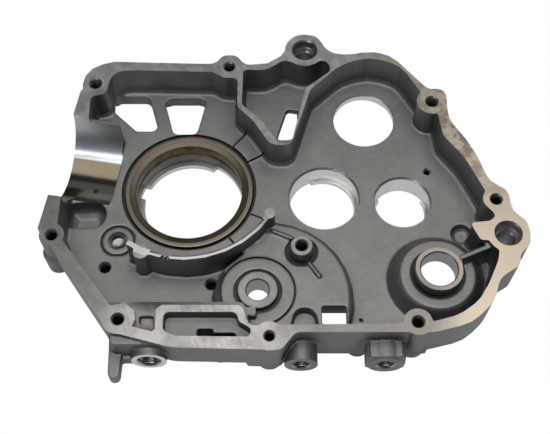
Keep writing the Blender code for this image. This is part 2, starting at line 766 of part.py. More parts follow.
def scoop():
    """Scooped pocket in the floor beside the spigot, with the cast wall under it."""
    x, y = SCOOP_END
    block = [
        (x + SCOOP_RADIUS + SCOOP_WALL, y + SCOOP_RADIUS + SCOOP_WALL, SCOOP_RADIUS + SCOOP_WALL),
        (x - 2 * SCOOP_RADIUS, y + SCOOP_RADIUS + SCOOP_WALL, 1.0),
        (x - 2 * SCOOP_RADIUS, y - SCOOP_RADIUS - SCOOP_WALL, 1.0),
        (x + SCOOP_RADIUS + SCOOP_WALL, y - SCOOP_RADIUS - SCOOP_WALL, SCOOP_RADIUS + SCOOP_WALL),
    ]
    prism("scoop_block", rounded(block), level(SCOOP_DEPTH + SCOOP_WALL), level(FLOOR_DEPTH + 1), walls)
    left = x - SCOOP_RADIUS - SCOOP_LENGTHENING
    pocket = [
        (x + SCOOP_RADIUS, y + SCOOP_RADIUS, SCOOP_RADIUS),
        (left, y + SCOOP_RADIUS - SCOOP_CORNER / 2, SCOOP_CORNER),
        (left, y - SCOOP_RADIUS, SCOOP_CORNER),
        (x + SCOOP_RADIUS, y - SCOOP_RADIUS, SCOOP_RADIUS),
    ]
    sections = [
        (rounded(inset(pocket, SCOOP_FILLET)), level(SCOOP_DEPTH)),
        (rounded(inset(pocket, SCOOP_FILLET * 0.35)), level(SCOOP_DEPTH - SCOOP_FILLET * 0.45)),
        (rounded(pocket), level(SCOOP_DEPTH - SCOOP_FILLET)),
        (rounded(pocket), level(FLOOR_DEPTH - OVERRUN)),
    ]
    loft("scoop", sections, machining)


def arc_wall():
    """Crank chamber wall with its end knob, lug and oil slits."""
    start, end = ARC_SPAN
    outer = arc((0, 0), ARC_OUTER, start, end)
    inner = arc((0, 0), ARC_OUTER - ARC_THICKNESS, end, start)
    foot = level(FLOOR_DEPTH + WEB / 2)
    prism("arc_wall", outer + inner, foot, level(-OVERRUN), features)
    middle = ARC_OUTER - ARC_THICKNESS / 2
    knob = (middle * cos(radians(end)), middle * sin(radians(end)))
    post("arc_knob", knob, KNOB_RADIUS, foot, level(-OVERRUN), features, 16)
    lug = (ARC_OUTER * cos(radians(LUG_ANGLE)), ARC_OUTER * sin(radians(LUG_ANGLE)))
    post("arc_lug", lug, LUG_RADIUS, foot, level(-OVERRUN), features, 16)
    for i, angle in enumerate(SLIT_ANGLES):
        turn = Vector((cos(radians(angle)), sin(radians(angle))))
        start = tuple(turn * (ARC_OUTER - 2 * ARC_THICKNESS))
        end = tuple(turn * (ARC_OUTER + ARC_THICKNESS))
        slit = ribbon(start, end, SLIT_WIDTH)
        prism(f"arc_slit_{i}", slit, level(SLIT_DEPTH), level(-2 * OVERRUN), machining)


def floor_pads():
    """Raised pads beside the crank bore."""
    for i, (start, end, reach) in enumerate(PADS):
        loop = arc((0, 0), reach, start, end) + arc((0, 0), CRANK_GROOVE_RADIUS - 1, end, start)
        prism(f"floor_pad_{i}", loop, level(FLOOR_DEPTH + 1), level(FLOOR_DEPTH - PAD_HEIGHT), features)


def kick_boss():
    """Kick shaft boss with its disc, collar, groove and rib."""
    foot = level(FLOOR_DEPTH + 2)
    top = level(KICK_DISC_DEPTH)
    skirt = [
        (KICK_SKIRT, foot),
        (KICK_SKIRT, level(FLOOR_DEPTH)),
        (KICK_DISC, top - BOSS_EDGE),
        (KICK_DISC - BOSS_EDGE, top),
    ]
    drum("kick_disc", KICK_CENTRE, skirt, features, 32)
    post("kick_collar", KICK_CENTRE, KICK_COLLAR, foot, level(KICK_COLLAR_DEPTH), features, 28)
    under = KICK_HOLE + UNDER_BOSS_WALL
    drum("kick_under", KICK_CENTRE, [(under - 1, level(KICK_UNDER_DEPTH)), (under, foot)], features, 24)
    prism("kick_rib", ribbon(*KICK_RIB, KICK_RIB_WIDTH), foot, level(KICK_RIB_DEPTH), features)
    groove = circle(KICK_CENTRE, KICK_GROOVE, 28)
    collar = circle(KICK_CENTRE, KICK_COLLAR, 28)
    band("kick_groove", groove, collar, top - GROOVE_DEPTH, top + OVERRUN / 2, machining)
    post("kick_hole", KICK_CENTRE, KICK_HOLE, -OVERRUN, THICKNESS, machining, 28)
    floor = level(FLOOR_DEPTH)
    bottom = level(KICK_RECESS_DEPTH)
    boss = KICK_RECESS_RADIUS + KICK_RECESS_WALL
    post("recess_boss", KICK_RECESS, boss, bottom - KICK_RECESS_WALL, floor - WEB / 2, features, 18)
    bowl = [
        (KICK_RECESS_RADIUS * 0.6, bottom),
        (KICK_RECESS_RADIUS * 0.9, bottom + KICK_RECESS_WALL / 2),
        (KICK_RECESS_RADIUS, floor),
        (KICK_RECESS_RADIUS, floor + OVERRUN / 2),
    ]
    drum("kick_recess", KICK_RECESS, bowl, machining, 18)


def shift_boss():
    """Gear shift shaft boss and the raised platform around it."""
    foot = level(FLOOR_DEPTH + 2)
    sections = []
    for drop, shrink in ((PLATFORM_EDGE, 0.0), (PLATFORM_EDGE * 0.4, 0.7), (0.0, PLATFORM_EDGE * 0.75)):
        loop = arc(PLATFORM_CENTRE, PLATFORM_RADIUS - shrink, *PLATFORM_SPAN) + PLATFORM_BACK
        sections.append((loop, level(PLATFORM_DEPTH + drop)))
    loft("platform", [(sections[0][0], foot)] + sections, features)
    top = level(SHIFT_DISC_DEPTH)
    skirt = [
        (SHIFT_SKIRT, foot),
        (SHIFT_SKIRT - BOSS_DRAFT, top - 2 * BOSS_EDGE),
        (SHIFT_DISC + BOSS_EDGE, top - BOSS_EDGE / 2),
        (SHIFT_DISC, top),
    ]
    drum("shift_disc", SHIFT_CENTRE, skirt, features, 32)
    post("shift_collar", SHIFT_CENTRE, SHIFT_COLLAR, foot, level(SHIFT_COLLAR_DEPTH), features)
    under = SHIFT_HOLE + UNDER_BOSS_WALL
    drum("shift_under", SHIFT_CENTRE, [(under - 1, level(SHIFT_UNDER_DEPTH)), (under, foot)], features, 24)
    groove = circle(SHIFT_CENTRE, SHIFT_GROOVE, 24)
    collar = circle(SHIFT_CENTRE, SHIFT_COLLAR, 24)
    band("shift_groove", groove, collar, top - GROOVE_DEPTH, top + OVERRUN / 4, machining)
    post("shift_hole", SHIFT_CENTRE, SHIFT_HOLE, -OVERRUN, THICKNESS, machining, 20)


def platform_details():
    """Stud boss, ribs, arch pocket and window of the platform."""
    top = level(PLATFORM_DEPTH)
    post("stud_collar", STUD_CENTRE, STUD_COLLAR, top - 2, level(STUD_COLLAR_DEPTH), features)
    groove = circle(STUD_CENTRE, STUD_GROOVE, 24)
    collar = circle(STUD_CENTRE, STUD_COLLAR, 24)
    band("stud_groove", groove, collar, top - GROOVE_DEPTH, top + OVERRUN / 2, machining)
    post("stud_hole", STUD_CENTRE, STUD_HOLE, level(FLOOR_DEPTH), THICKNESS, machining, 12)
    for i, (start, end) in enumerate(PLATFORM_RIBS):
        rib = ribbon(start, end, PLATFORM_RIB_WIDTH)
        prism(f"platform_rib_{i}", rib, top - 2, top + PLATFORM_RIB_HEIGHT, features)
    prism("arch_pocket", rounded(ARCH_POCKET), level(ARCH_POCKET_DEPTH), top + OVERRUN, machining)
    window = rounded(PLATFORM_WINDOW)
    prism("platform_window", window, level(WALL_DEPTH) - OVERRUN, top + OVERRUN, machining)


def gallery():
    """Oil gallery block with its rib, pocket and slots."""
    foot = level(FLOOR_DEPTH + WEB / 2)
    prism("gallery_block", rounded(GALLERY_BLOCK), foot, level(GALLERY_TOP_DEPTH), features)
    for i, (start, end) in enumerate(zip(GALLERY_RIB, GALLERY_RIB[1:])):
        rib = ribbon(start, end, GALLERY_RIB_WIDTH)
        prism(f"gallery_rib_{i}", rib, level(FLOOR_DEPTH), level(-OVERRUN), features)
        half = GALLERY_RIB_WIDTH / 2
        post(f"gallery_rib_corner_{i}", start, half, level(FLOOR_DEPTH), level(-OVERRUN), features, 16)
    for i, (corners, depth) in enumerate((
        (GALLERY_POCKET, GALLERY_POCKET_DEPTH),
        (GALLERY_PATCH, GALLERY_POCKET_DEPTH),
        (GALLERY_SLOTS[0], GALLERY_SLOT_DEPTH),
        (GALLERY_SLOTS[1], GALLERY_SLOT_DEPTH),
    )):
        prism(f"gallery_pocket_{i}", rounded(corners), level(depth), level(-2 * OVERRUN), machining)


def rim_bosses():
    """Bolt bosses and mounting lugs on the rim."""
    for i, (x, y, boss, hole) in enumerate(BOLT_BOSSES):
        profile = [(boss - WALL_DRAFT, level(BOLT_BOSS_DEPTH)), (boss, level(-OVERRUN))]
        drum(f"bolt_boss_{i}", (x, y), profile, features, 22)
        profile = [
            (hole, level(BOLT_DEPTH)),
            (hole, level(BOLT_CHAMFER)),
            (hole + BOLT_CHAMFER, level(0)),
            (hole + BOLT_CHAMFER + OVERRUN, level(-OVERRUN)),
        ]
        drum(f"bolt_hole_{i}", (x, y), profile, machining, 12)
    for i, centre in enumerate(MOUNTS):
        profile = [(MOUNT_RADIUS - WALL_DRAFT, level(MOUNT_DEPTH)), (MOUNT_RADIUS, level(-OVERRUN))]
        drum(f"mount_boss_{i}", centre, profile, features)
        step = level(MOUNT_COUNTERBORE_DEPTH)
        post(f"mount_bore_{i}", centre, MOUNT_BORE, -OVERRUN, THICKNESS, machining, 16)
        post(f"mount_counterbore_{i}", centre, MOUNT_COUNTERBORE, step, level(-2 * OVERRUN), machining, 20)
    prism("mount_lug", rounded(MOUNT_LUG), level(WALL_DEPTH), level(-OVERRUN), walls)
    prism("top_bolt_lug", rounded(TOP_BOLT_LUG), level(WALL_DEPTH), level(-OVERRUN), walls)


def floor_holes():
    """Tapped holes, windows and drillings in the floors."""
    floor = level(FLOOR_DEPTH)
    bottom = floor - FLOOR_HOLE_DEPTH
    for i, (x, y, radius) in enumerate(FLOOR_HOLES):
        boss = radius + FLOOR_HOLE_WALL
        post(f"floor_boss_{i}", (x, y), boss, bottom - OVERRUN, floor - WEB / 2, features, 20)
        post(f"floor_hole_{i}", (x, y), radius, bottom, floor + OVERRUN, machining, 14)
    drilled = floor - WEB / 2
    post("floor_drilling", FLOOR_DRILLING, FLOOR_DRILLING_RADIUS, drilled, floor + OVERRUN, machining, 10)
    under = level(WALL_DEPTH) - OVERRUN
    for i, corners in enumerate(WINDOWS + [BREATHER_SLOT]):
        prism(f"window_{i}", rounded(corners), under, floor + OVERRUN, machining)
    boss = DRAIN_BACK_RADIUS + WEB / 2
    post("drain_back_boss", DRAIN_BACK_CENTRE, boss, bottom, floor - WEB / 2, features)
    groove = circle(DRAIN_BACK_CENTRE, DRAIN_BACK_RADIUS, 24)
    collar = circle(DRAIN_BACK_CENTRE, DRAIN_BACK_RADIUS - DRAIN_BACK_GROOVE, 24)
    band("drain_back_groove", groove, collar, floor - GROOVE_DEPTH, floor + OVERRUN, machining)
    profile = [
        (DRAIN_BACK_HOLE, bottom + WEB),
        (DRAIN_BACK_HOLE, floor - BOLT_CHAMFER),
        (DRAIN_BACK_HOLE + BOLT_CHAMFER, floor),
        (DRAIN_BACK_HOLE + BOLT_CHAMFER, floor + OVERRUN),
    ]
    drum("drain_back_hole", DRAIN_BACK_CENTRE, profile, machining, 20)


def front_bosses():
    """Drain boss, foot-peg bosses, peg and ledge on the front wall."""
    back = FRONT_FACE + FRONT_BOSS_ROOT
    for i, (x, depth, boss, hole) in enumerate([DRAIN_PLUG] + FOOTPEG_BOSSES):
        height = level(depth)
        front_drum(f"front_boss_{i}", x, height, boss, FRONT_FACE, back, features)
        near = FRONT_FACE - OVERRUN
        front_drum(f"front_hole_{i}", x, height, hole, near, FRONT_FACE + FRONT_HOLE_DEPTH, machining, 20)
    x, depth, *_ = FOOTPEG_BOSSES[-1]
    left = x - FOOTPEG_BLOCK_WIDTH / 2
    right = x + FOOTPEG_BLOCK_WIDTH / 2
    near = FRONT_FACE + 1
    block = [(left, back), (left, near), (right, near), (right, back)]
    prism("footpeg_block", block, level(depth), level(depth - FOOTPEG_BLOCK_HEIGHT), features)
    peg = [
        (PEG_X - PEG_WIDTH / 2 - 1, -92.0, 1.0),
        (PEG_X - PEG_WIDTH / 2, PEG_TIP, PEG_WIDTH / 2),
        (PEG_X + PEG_WIDTH / 2, PEG_TIP, PEG_WIDTH / 2),
        (PEG_X + PEG_WIDTH / 2 + 1, -92.0, 1.0),
    ]
    prism("front_peg", rounded(peg), level(PEG_BOTTOM_DEPTH), level(PEG_TOP_DEPTH), features)
    ledge = [(PEG_X, -92.0), (PEG_X, LEDGE_FRONT), (LEDGE_END, LEDGE_FRONT), (LEDGE_END, -92.0)]
    prism("front_ledge", ledge, level(PEG_BOTTOM_DEPTH), level(LEDGE_DEPTH), features)


def under_ribs():
    """Stiffening ribs under the web."""
    for i, (start, end) in enumerate(UNDER_RIBS):
        rib = ribbon(start, end, UNDER_RIB_WIDTH)
        prism(f"under_rib_{i}", rib, level(UNDER_RIB_DEPTH), level(FLOOR_DEPTH + WEB / 2), features)


def facing_cuts():
    """Flat machined faces: the split face above and the cover face below."""
    size = 2 * RIGHT_END
    square = [(-size, -size), (size, -size), (size, size), (-size, size)]
    prism("split_facing", square, level(0), level(-2 * SPIGOT_RADIUS), machining)
    prism("cover_facing", square, -SPIGOT_RADIUS, 0.0, machining)


def new_group(name):
    """Collection of pieces for one Boolean step."""
    group = bpy.data.collections.new(name)
    bpy.context.scene.collection.children.link(group)
    return group


for old in list(bpy.data.objects):
    bpy.data.objects.remove(old, do_unlink=True)

scene_group = bpy.context.scene.collection
hollow = new_group("hollow")
walls = new_group("walls")
pockets = new_group("pockets")
features = new_group("features")
machining = new_group("machining")

left_end = along_spigot(GASKET_DISTANCE, GASKET_SIDE_NEAR)[0]
datum = bpy.data.objects.new("crankshaft_axis", None)
scene_group.objects.link(datum)
datum.location = Vector((-(left_end + RIGHT_END) / 2, -(PEG_TIP + BACK_END) / 2, 0.0)) * MM

casting = outer_walls()
chambers()
front_step()
cover_rim()
crank_bore()
shaft_bores()
spigot()
scoop()
arc_wall()
floor_pads()
kick_boss()
shift_boss()
platform_details()
gallery()
rim_bosses()
floor_holes()
front_bosses()
under_ribs()
facing_cuts()
combine(casting, "DIFFERENCE", hollow)
combine(casting, "UNION", walls)
combine(casting, "DIFFERENCE", pockets)
combine(casting, "UNION", features)
combine(casting, "DIFFERENCE", machining)
casting.data.materials.append(material("cast_aluminium", (0.36, 0.36, 0.35), 0.5, 0.85))

main_sleeve = sleeve()
main_sleeve.data.materials.append(material("bearing_steel", (0.26, 0.23, 0.19), 0.45, 0.9))
for piece in (casting, main_sleeve):
    piece.data.shade_smooth()
    piece.data.set_sharp_from_angle(angle=radians(30))
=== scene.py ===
"""Looks of a bare crankcase half: blasted casting, milled faces, bored seats and an oily steel sleeve."""

from math import cos
from math import pi
from math import radians
from math import sin

import bmesh
import bpy
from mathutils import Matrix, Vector


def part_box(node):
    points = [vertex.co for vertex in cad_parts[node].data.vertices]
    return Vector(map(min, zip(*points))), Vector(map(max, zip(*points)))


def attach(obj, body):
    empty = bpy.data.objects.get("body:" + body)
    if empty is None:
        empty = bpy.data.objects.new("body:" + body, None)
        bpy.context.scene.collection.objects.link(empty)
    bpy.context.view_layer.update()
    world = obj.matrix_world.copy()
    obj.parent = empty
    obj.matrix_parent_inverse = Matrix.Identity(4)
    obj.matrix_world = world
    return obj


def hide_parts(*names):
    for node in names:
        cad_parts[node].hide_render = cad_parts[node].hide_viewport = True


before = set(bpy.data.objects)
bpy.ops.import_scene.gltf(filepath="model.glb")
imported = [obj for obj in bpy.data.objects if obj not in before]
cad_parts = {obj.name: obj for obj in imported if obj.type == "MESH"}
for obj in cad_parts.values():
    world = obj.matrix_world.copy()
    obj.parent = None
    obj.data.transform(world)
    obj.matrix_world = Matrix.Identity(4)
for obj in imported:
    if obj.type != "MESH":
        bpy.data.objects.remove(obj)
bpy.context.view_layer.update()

MM = 0.001

# The frame gives the crankshaft axis, the split face and the cover face
sleeve_low, sleeve_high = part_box("main_bearing_sleeve")
case_low, case_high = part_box("crankcase_casting")
CRANK_AXIS = (sleeve_low + sleeve_high) / 2
SPLIT_FACE = case_high.z
COVER_FACE = case_low.z

# Sizes in millimetres: plan places from the crankshaft axis, depths below the split face
FLOOR_DEPTH = 21.5
CASE_DEPTH = 42.0
WEB = 4.5
OVERRUN = 2.0

# The cast skin is remade with soft fillets, and machined faces carry stock until they are cut
SKIN_VOXEL = 0.55
SKIN_SMOOTHING = 9
SKIN_FACES = 118000
STOCK = 2.5
BORE_STOCK = 1.4
PLUG_MARGIN = 0.4
PLUG_OVERRUN = 1.0

# Crank bore with its retaining lip, whose sectors are in degrees, and the groove round the sleeve
CRANK_BORE = 37.8
CRANK_LIP_DEPTH = 38.5
CRANK_THROAT = 31.0
CRANK_LIP = 27.8
CRANK_LIP_SECTORS = [(62.0, 154.0), (172.0, 265.0)]
CRANK_GROOVE = 39.4
CRANK_GROOVE_DEPTH = 1.6

# Scored lines at the ends of the raised floor pads: angle in degrees and reach
PAD_ENDS = [(29.5, 50.0), (50.0, 50.0), (-52.5, 48.0), (-24.0, 48.0)]
PAD_HEIGHT = 1.0
PAD_LINE = 1.1
PAD_LINE_DEPTH = 0.7

# Bearing sleeve: its inside from the oil groove up to the stepped mouth, and its outer edge, as
# points past the inner or outer radius and below the top
SLEEVE_INNER = 31.0
SLEEVE_OUTER = 37.5
SLEEVE_TOP_DEPTH = 21.0
SLEEVE_SIDES = 224
SLEEVE_STEP = 1.6
SLEEVE_INSIDE = [
    (0.0, 9.6),
    (0.5, 9.2),
    (0.5, 8.4),
    (0.0, 8.0),
    (0.0, SLEEVE_STEP),
    (0.25, 1.25),
    (0.7, 1.05),
    (3.2, 0.65),
    (3.5, 0.5),
    (3.7, 0.1),
    (3.95, 0.0),
    (4.2, 0.0),
]
SLEEVE_EDGE = [(-0.9, 0.0), (-0.6, 0.0), (-0.2, 0.2), (0.0, 0.7)]

# Gearbox bearing seats: centre, seat, lip and its sectors; then the shift drum's hole
SHAFT_BORES = [
    ((78.8, -5.1), 20.0, 18.2, [(-75.0, 112.0)]),
    ((124.3, -7.7), 16.0, 14.4, [(148.0, 392.0)]),
]
SHAFT_MOUTH = 1.1
SHAFT_SEAT = 12.0
SHAFT_LIP = 2.5
DRUM_HOLE = ((104.1, 49.4), 18.3)
DRUM_MOUTH = 0.5
DRUM_CLEARANCE = 7.4

# Half bore and gasket face for the cylinder, along the cylinder's axis
SPIGOT_ANGLE = radians(9.3)
SPIGOT_RADIUS = 27.5
SPIGOT_START = 43.6
SPIGOT_OVERRUN = 9.0
GASKET_DISTANCE = 73.2
GASKET_SIDE = 76.0

# Bosses: centre, hole and top, and how deep the kick and shift holes are filled for the skin
KICK_CENTRE = (139.6, -59.0)
KICK_HOLE = 10.0
KICK_TOP_DEPTH = 4.5
KICK_PLUG_DEPTH = 38.0
SHIFT_CENTRE = (40.9, -69.9)
SHIFT_HOLE = 6.1
SHIFT_TOP_DEPTH = 8.0
SHIFT_PLUG_DEPTH = 34.0
STUD_CENTRE = (64.9, -45.5)
STUD_HOLE = 3.2
STUD_TOP_DEPTH = 3.0

# Drain-back hole in the floor: chamfer, straight depth, drill point, and its plug's radius and bottom
DRAIN_BACK_CENTRE = (-39.2, -33.1)
DRAIN_BACK_HOLE = 4.2
DRAIN_BACK_CHAMFER = 1.6
DRAIN_BACK_DEPTH = 5.0
DRAIN_BACK_POINT = 0.6
DRAIN_BACK_PLUG = (5.7, 29.0)

# Milled boss tops: centre, radius and depth
BOSS_TOPS = [
    (KICK_CENTRE, 13.2, KICK_TOP_DEPTH),
    (SHIFT_CENTRE, 11.0, SHIFT_TOP_DEPTH),
    (STUD_CENTRE, 6.4, STUD_TOP_DEPTH),
]
BOSS_FACING = 0.15

# Grooves round the bosses: centre, inner and outer radius, top and bottom
RING_GROOVES = [
    (KICK_CENTRE, 13.3, 15.2, 11.0, 12.4),
    (SHIFT_CENTRE, 11.2, 13.2, 9.6, 11.0),
    (SHIFT_CENTRE, 19.6, 21.0, 9.6, 11.6),
    (STUD_CENTRE, 6.5, 8.8, 10.5, 12.0),
    (DRAIN_BACK_CENTRE, 8.6, 10.0, 21.5, 22.7),
]

# Hollows from below: centre, radius, top and bottom; then the one under the platform's window
BOSS_HOLLOWS = [
    (KICK_CENTRE, 19.0, 16.0, 41.0),
    (SHIFT_CENTRE, 14.0, 21.8, 41.0),
    ((135.0, -43.0), 8.0, 26.2, 36.0),
]
WINDOW_HOLLOW = ([(74.0, -90.5), (91.0, -90.5), (91.0, -76.0), (74.0, -76.0)], 17.0, 41.0)

# Lower edge of the front wall: feet of two bolt bosses (centre, radius, top and bottom), three
# strips, and the rear foot-peg boss (place, depth of the axis and radius)
BOSS_FEET = [
    ((125.3, -92.1), 7.4, 28.0, 35.0),
    ((-73.4, -41.4), 7.0, 18.0, 34.0),
]
BOSS_FOOT_DRAFT = 0.5
WALL_FEET = [
    ([(61.5, -97.1), (133.0, -97.1), (133.0, -90.0), (61.5, -90.0)], 26.0, 33.4),
    ([(-22.0, -101.0), (-3.5, -105.8), (38.5, -106.8), (35.5, -98.5), (-14.0, -98.5)], 17.5, 22.4),
    ([(98.6, -107.2), (119.8, -107.2), (119.8, -95.0), (98.6, -95.0)], 13.0, 28.0),
]
PEG_BLOCK = (109.2, 21.0, 10.8)
PEG_BLOCK_EDGE = 1.2
PEG_BLOCK_BACK = -96.0

# What is cut off outside the rounded upper left corner
CASE_CORNER = [
    (-65.0, 60.0),
    (-64.1, 62.2),
    (-63.0, 67.1),
    (-59.4, 72.2),
    (-53.6, 75.6),
    (-45.6, 77.8),
    (-45.6, 90.0),
    (-75.0, 90.0),
    (-75.0, 60.0),
]

# Low inner half of the crank chamber wall's top: radii, first and last angle in degrees, and depth
ARC_LEDGE = (51.5, 54.3, 251.0, 325.0, 1.6)
ARC_LEDGE_STEPS = 36

# Step in the top of the oil gallery
GALLERY_STEP_DEPTH = 3.0
GALLERY_STEP = [
    (44.0, -78.0),
    (44.0, -91.0),
    (35.4, -91.0),
    (33.6, -84.4),
    (31.6, -82.6),
    (-9.5, -82.6),
    (-12.4, -85.0),
    (-12.4, -96.4),
    (-14.0, -97.6),
    (-24.5, -94.8),
    (-22.9, -90.6),
    (-24.0, -85.8),
    (-28.0, -82.2),
    (-34.0, -80.8),
    (-34.0, -78.0),
]

# Tapped holes of the case screws and in the floor: place and radius
BOLT_HOLES = [
    (-56.7, 61.4, 3.3),
    (22.8, 73.9, 3.0),
    (142.8, 48.4, 3.3),
    (173.8, -18.1, 3.0),
    (125.3, -92.1, 3.0),
    (47.3, -100.1, 2.5),
    (-32.2, -90.6, 3.0),
    (-72.2, -40.6, 3.0),
]
BOLT_DEPTH = 24.0
FLOOR_HOLES = [(-45.2, -50.1, 3.0), (14.8, -60.5, 3.0), (140.1, 12.9, 1.7)]
FLOOR_HOLE_DEPTH = 10.0
THREAD_PITCH = 1.0
THREAD_HEIGHT = 0.42
THREAD_TURNS = 9
CHAMFER = 0.8

# Mounting lugs
MOUNTS = [(68.3, 86.4), (178.3, -39.6)]
MOUNT_BORE = 5.0
MOUNT_COUNTERBORE = 7.0
MOUNT_COUNTERBORE_DEPTH = 8.0
MOUNT_DEPTH = 36.0

# Holes in the front bosses: place, depth of the axis and radius
FRONT_FACE = -108.4
FRONT_HOLES = [(-16.2, 15.0, 6.0), (64.1, 20.5, 4.6), (109.2, 20.5, 4.6)]
FRONT_HOLE_DEPTH = 15.0
FRONT_FACING = 7.5

# Screws of the clutch cover
COVER_SCREWS = [
    (24.0, 35.5),
    (70.5, 66.0),
    (141.0, 56.0),
    (161.0, 5.0),
    (161.0, -64.0),
    (96.0, -89.0),
    (20.0, -92.5),
    (-37.0, -70.5),
    (-40.0, -18.0),
]
COVER_SCREW = 2.6
COVER_SCREW_DEPTH = 16.0

# Camera, from the photograph's perspective, in metres
CAMERA_PLACE = (-0.0048, -0.2934, 0.5353)
CAMERA_TARGET = (-0.0048, -0.0200, 0.0420)
CAMERA_LENS = 66.8

# Floor and lights, in metres; panels: name, place, target, size, brightness and colour
FLOOR_COLOUR = (0.45, 0.45, 0.45, 1.0)
FLOOR_GLOW = 0.4
FLOOR_REACH = 4.0
FLOOR_THICKNESS = 0.01
PANELS = [
    ("overhead", (0.0, -0.06, 0.75), (0.0, -0.06, 0.0), (1.0, 0.74), 1.75, (1.0, 0.965, 0.91)),
    ("rear", (-0.1, 0.80, 0.75), (-0.1, 0.80, 0.0), (1.0, 0.55), 0.48, (0.95, 0.98, 1.0)),
    ("strip", (-0.33, -0.31, 0.46), (-0.12, 0.02, 0.02), (0.3, 0.045), 5.0, (0.93, 0.96, 1.0)),
]

# Degrees: the overhead panel's turn, and the least turn of a machined face that stays crisp
OVERHEAD_TURN = 18.0
CRISP_ANGLE = 28.0

# Sockets of a Mix node that mixes colours
MIX_FIRST = 6
MIX_SECOND = 7
MIX_RESULT = 2


def height(depth):
    """World height of a level this many millimetres below the split face."""
    return SPLIT_FACE - depth * MM


def place(x, y, depth):
    """World point from millimetres off the crankshaft axis and below the split face."""
    return Vector((CRANK_AXIS.x + x * MM, CRANK_AXIS.y + y * MM, height(depth)))


def spigot_frame():
    """Directions along the cylinder axis, away from the crankshaft, and across it."""
    along = Vector((-cos(SPIGOT_ANGLE), sin(SPIGOT_ANGLE), 0.0))
    across = Vector((sin(SPIGOT_ANGLE), cos(SPIGOT_ANGLE), 0.0))
    return along, across


class Channel:
    """A node's output that takes part in sums and products."""

    def __init__(self, graph, socket):
        self.graph = graph
        self.socket = socket

    def math(self, operation, *values):
        return self.graph.node("ShaderNodeMath", {"operation": operation}, dict(enumerate(values)))

    def __add__(self, other):
        return self.math("ADD", self, other)

    __radd__ = __add__

    def __mul__(self, other):
        return self.math("MULTIPLY", self, other)

    __rmul__ = __mul__

    def __sub__(self, other):
        return self.math("SUBTRACT", self, other)

    def __rsub__(self, other):
        return self.math("SUBTRACT", other, self)

    def __pow__(self, other):
        return self.math("POWER", self, other)

    def clamp(self):
        """The same number held between 0 and 1."""
        return self.graph.node("ShaderNodeClamp", {}, {"Value": self})


class Graph:
    """A node tree under construction."""

    def __init__(self, owner):
        owner.use_nodes = True
        self.tree = owner.node_tree

    def node(self, kind, settings, sockets, output=0):
        """Adds a node, sets it up, fills its sockets and returns one of its outputs."""
        node = self.tree.nodes.new(kind)
        for setting, value in settings.items():
            setattr(node, setting, value)
        for socket, value in sockets.items():
            self.feed(node.inputs[socket], value)
        return Channel(self, node.outputs[output])

    def feed(self, socket, value):
        """Links a channel to a socket, or sets the socket to a constant."""
        if isinstance(value, Channel):
            self.tree.links.new(value.socket, socket)
        else:
            socket.default_value = value

    def part(self, vector, axis):
        """One coordinate of a vector."""
        return self.node("ShaderNodeSeparateXYZ", {}, {"Vector": vector}, axis)

    def blend(self, factor, first, second):
        """Mix of two colours."""
        sockets = {"Factor": factor, MIX_FIRST: first, MIX_SECOND: second}
        return self.node("ShaderNodeMix", {"data_type": "RGBA"}, sockets, MIX_RESULT)


class Finish(Graph):
    """A material under construction."""

    def __init__(self, name, **constants):
        self.material = bpy.data.materials.new(name)
        super().__init__(self.material)
        self.shader = self.tree.nodes["Principled BSDF"]
        self.coordinates = self.node("ShaderNodeTexCoord", {}, {}, "Object")
        self.shade(**constants)

    def shade(self, **sockets):
        """Feeds the shader's own sockets."""
        for socket, value in sockets.items():
            self.feed(self.shader.inputs[socket.replace("_", " ")], value)

    def noise(self, scale, detail=2.0, roughness=0.5, where=None):
        """Cloudy pattern with this many features in a metre."""
        sockets = {
            "Vector": where or self.coordinates,
            "Scale": scale,
            "Detail": detail,
            "Roughness": roughness,
        }
        return self.node("ShaderNodeTexNoise", {}, sockets, "Fac")

    def stretched(self, squeeze, turn=0.0):
        """Coordinates scaled apart along each axis, to draw a pattern out into lines."""
        return self.node(
            "ShaderNodeMapping",
            {"vector_type": "TEXTURE"},
            {"Vector": self.coordinates, "Rotation": (0.0, 0.0, turn), "Scale": squeeze},
        )

    def between(self, value, low, high):
        """0 below one level of a channel, 1 above the other, and smooth in between."""
        sockets = {"Value": value, "From Min": low, "From Max": high}
        return self.node("ShaderNodeMapRange", {"interpolation_type": "SMOOTHSTEP"}, sockets)

    def bump(self, relief, strength, distance):
        """Surface normal from a relief, in metres."""
        sockets = {"Height": relief, "Strength": strength, "Distance": distance}
        return self.node("ShaderNodeBump", {}, sockets, "Normal")

    def axis(self, name):
        """One world coordinate of the surface point, in metres."""
        return self.part(self.coordinates, name)

    def upward(self):
        """1 on a face that looks up, 0 on a wall."""
        return self.part(self.node("ShaderNodeNewGeometry", {}, {}, "Normal"), "Z")

    def crevices(self, reach):
        """1 in the open, falling towards 0 in corners and grooves."""
        sockets = {"Distance": reach}
        return self.node("ShaderNodeAmbientOcclusion", {"samples": 6}, sockets, "AO")


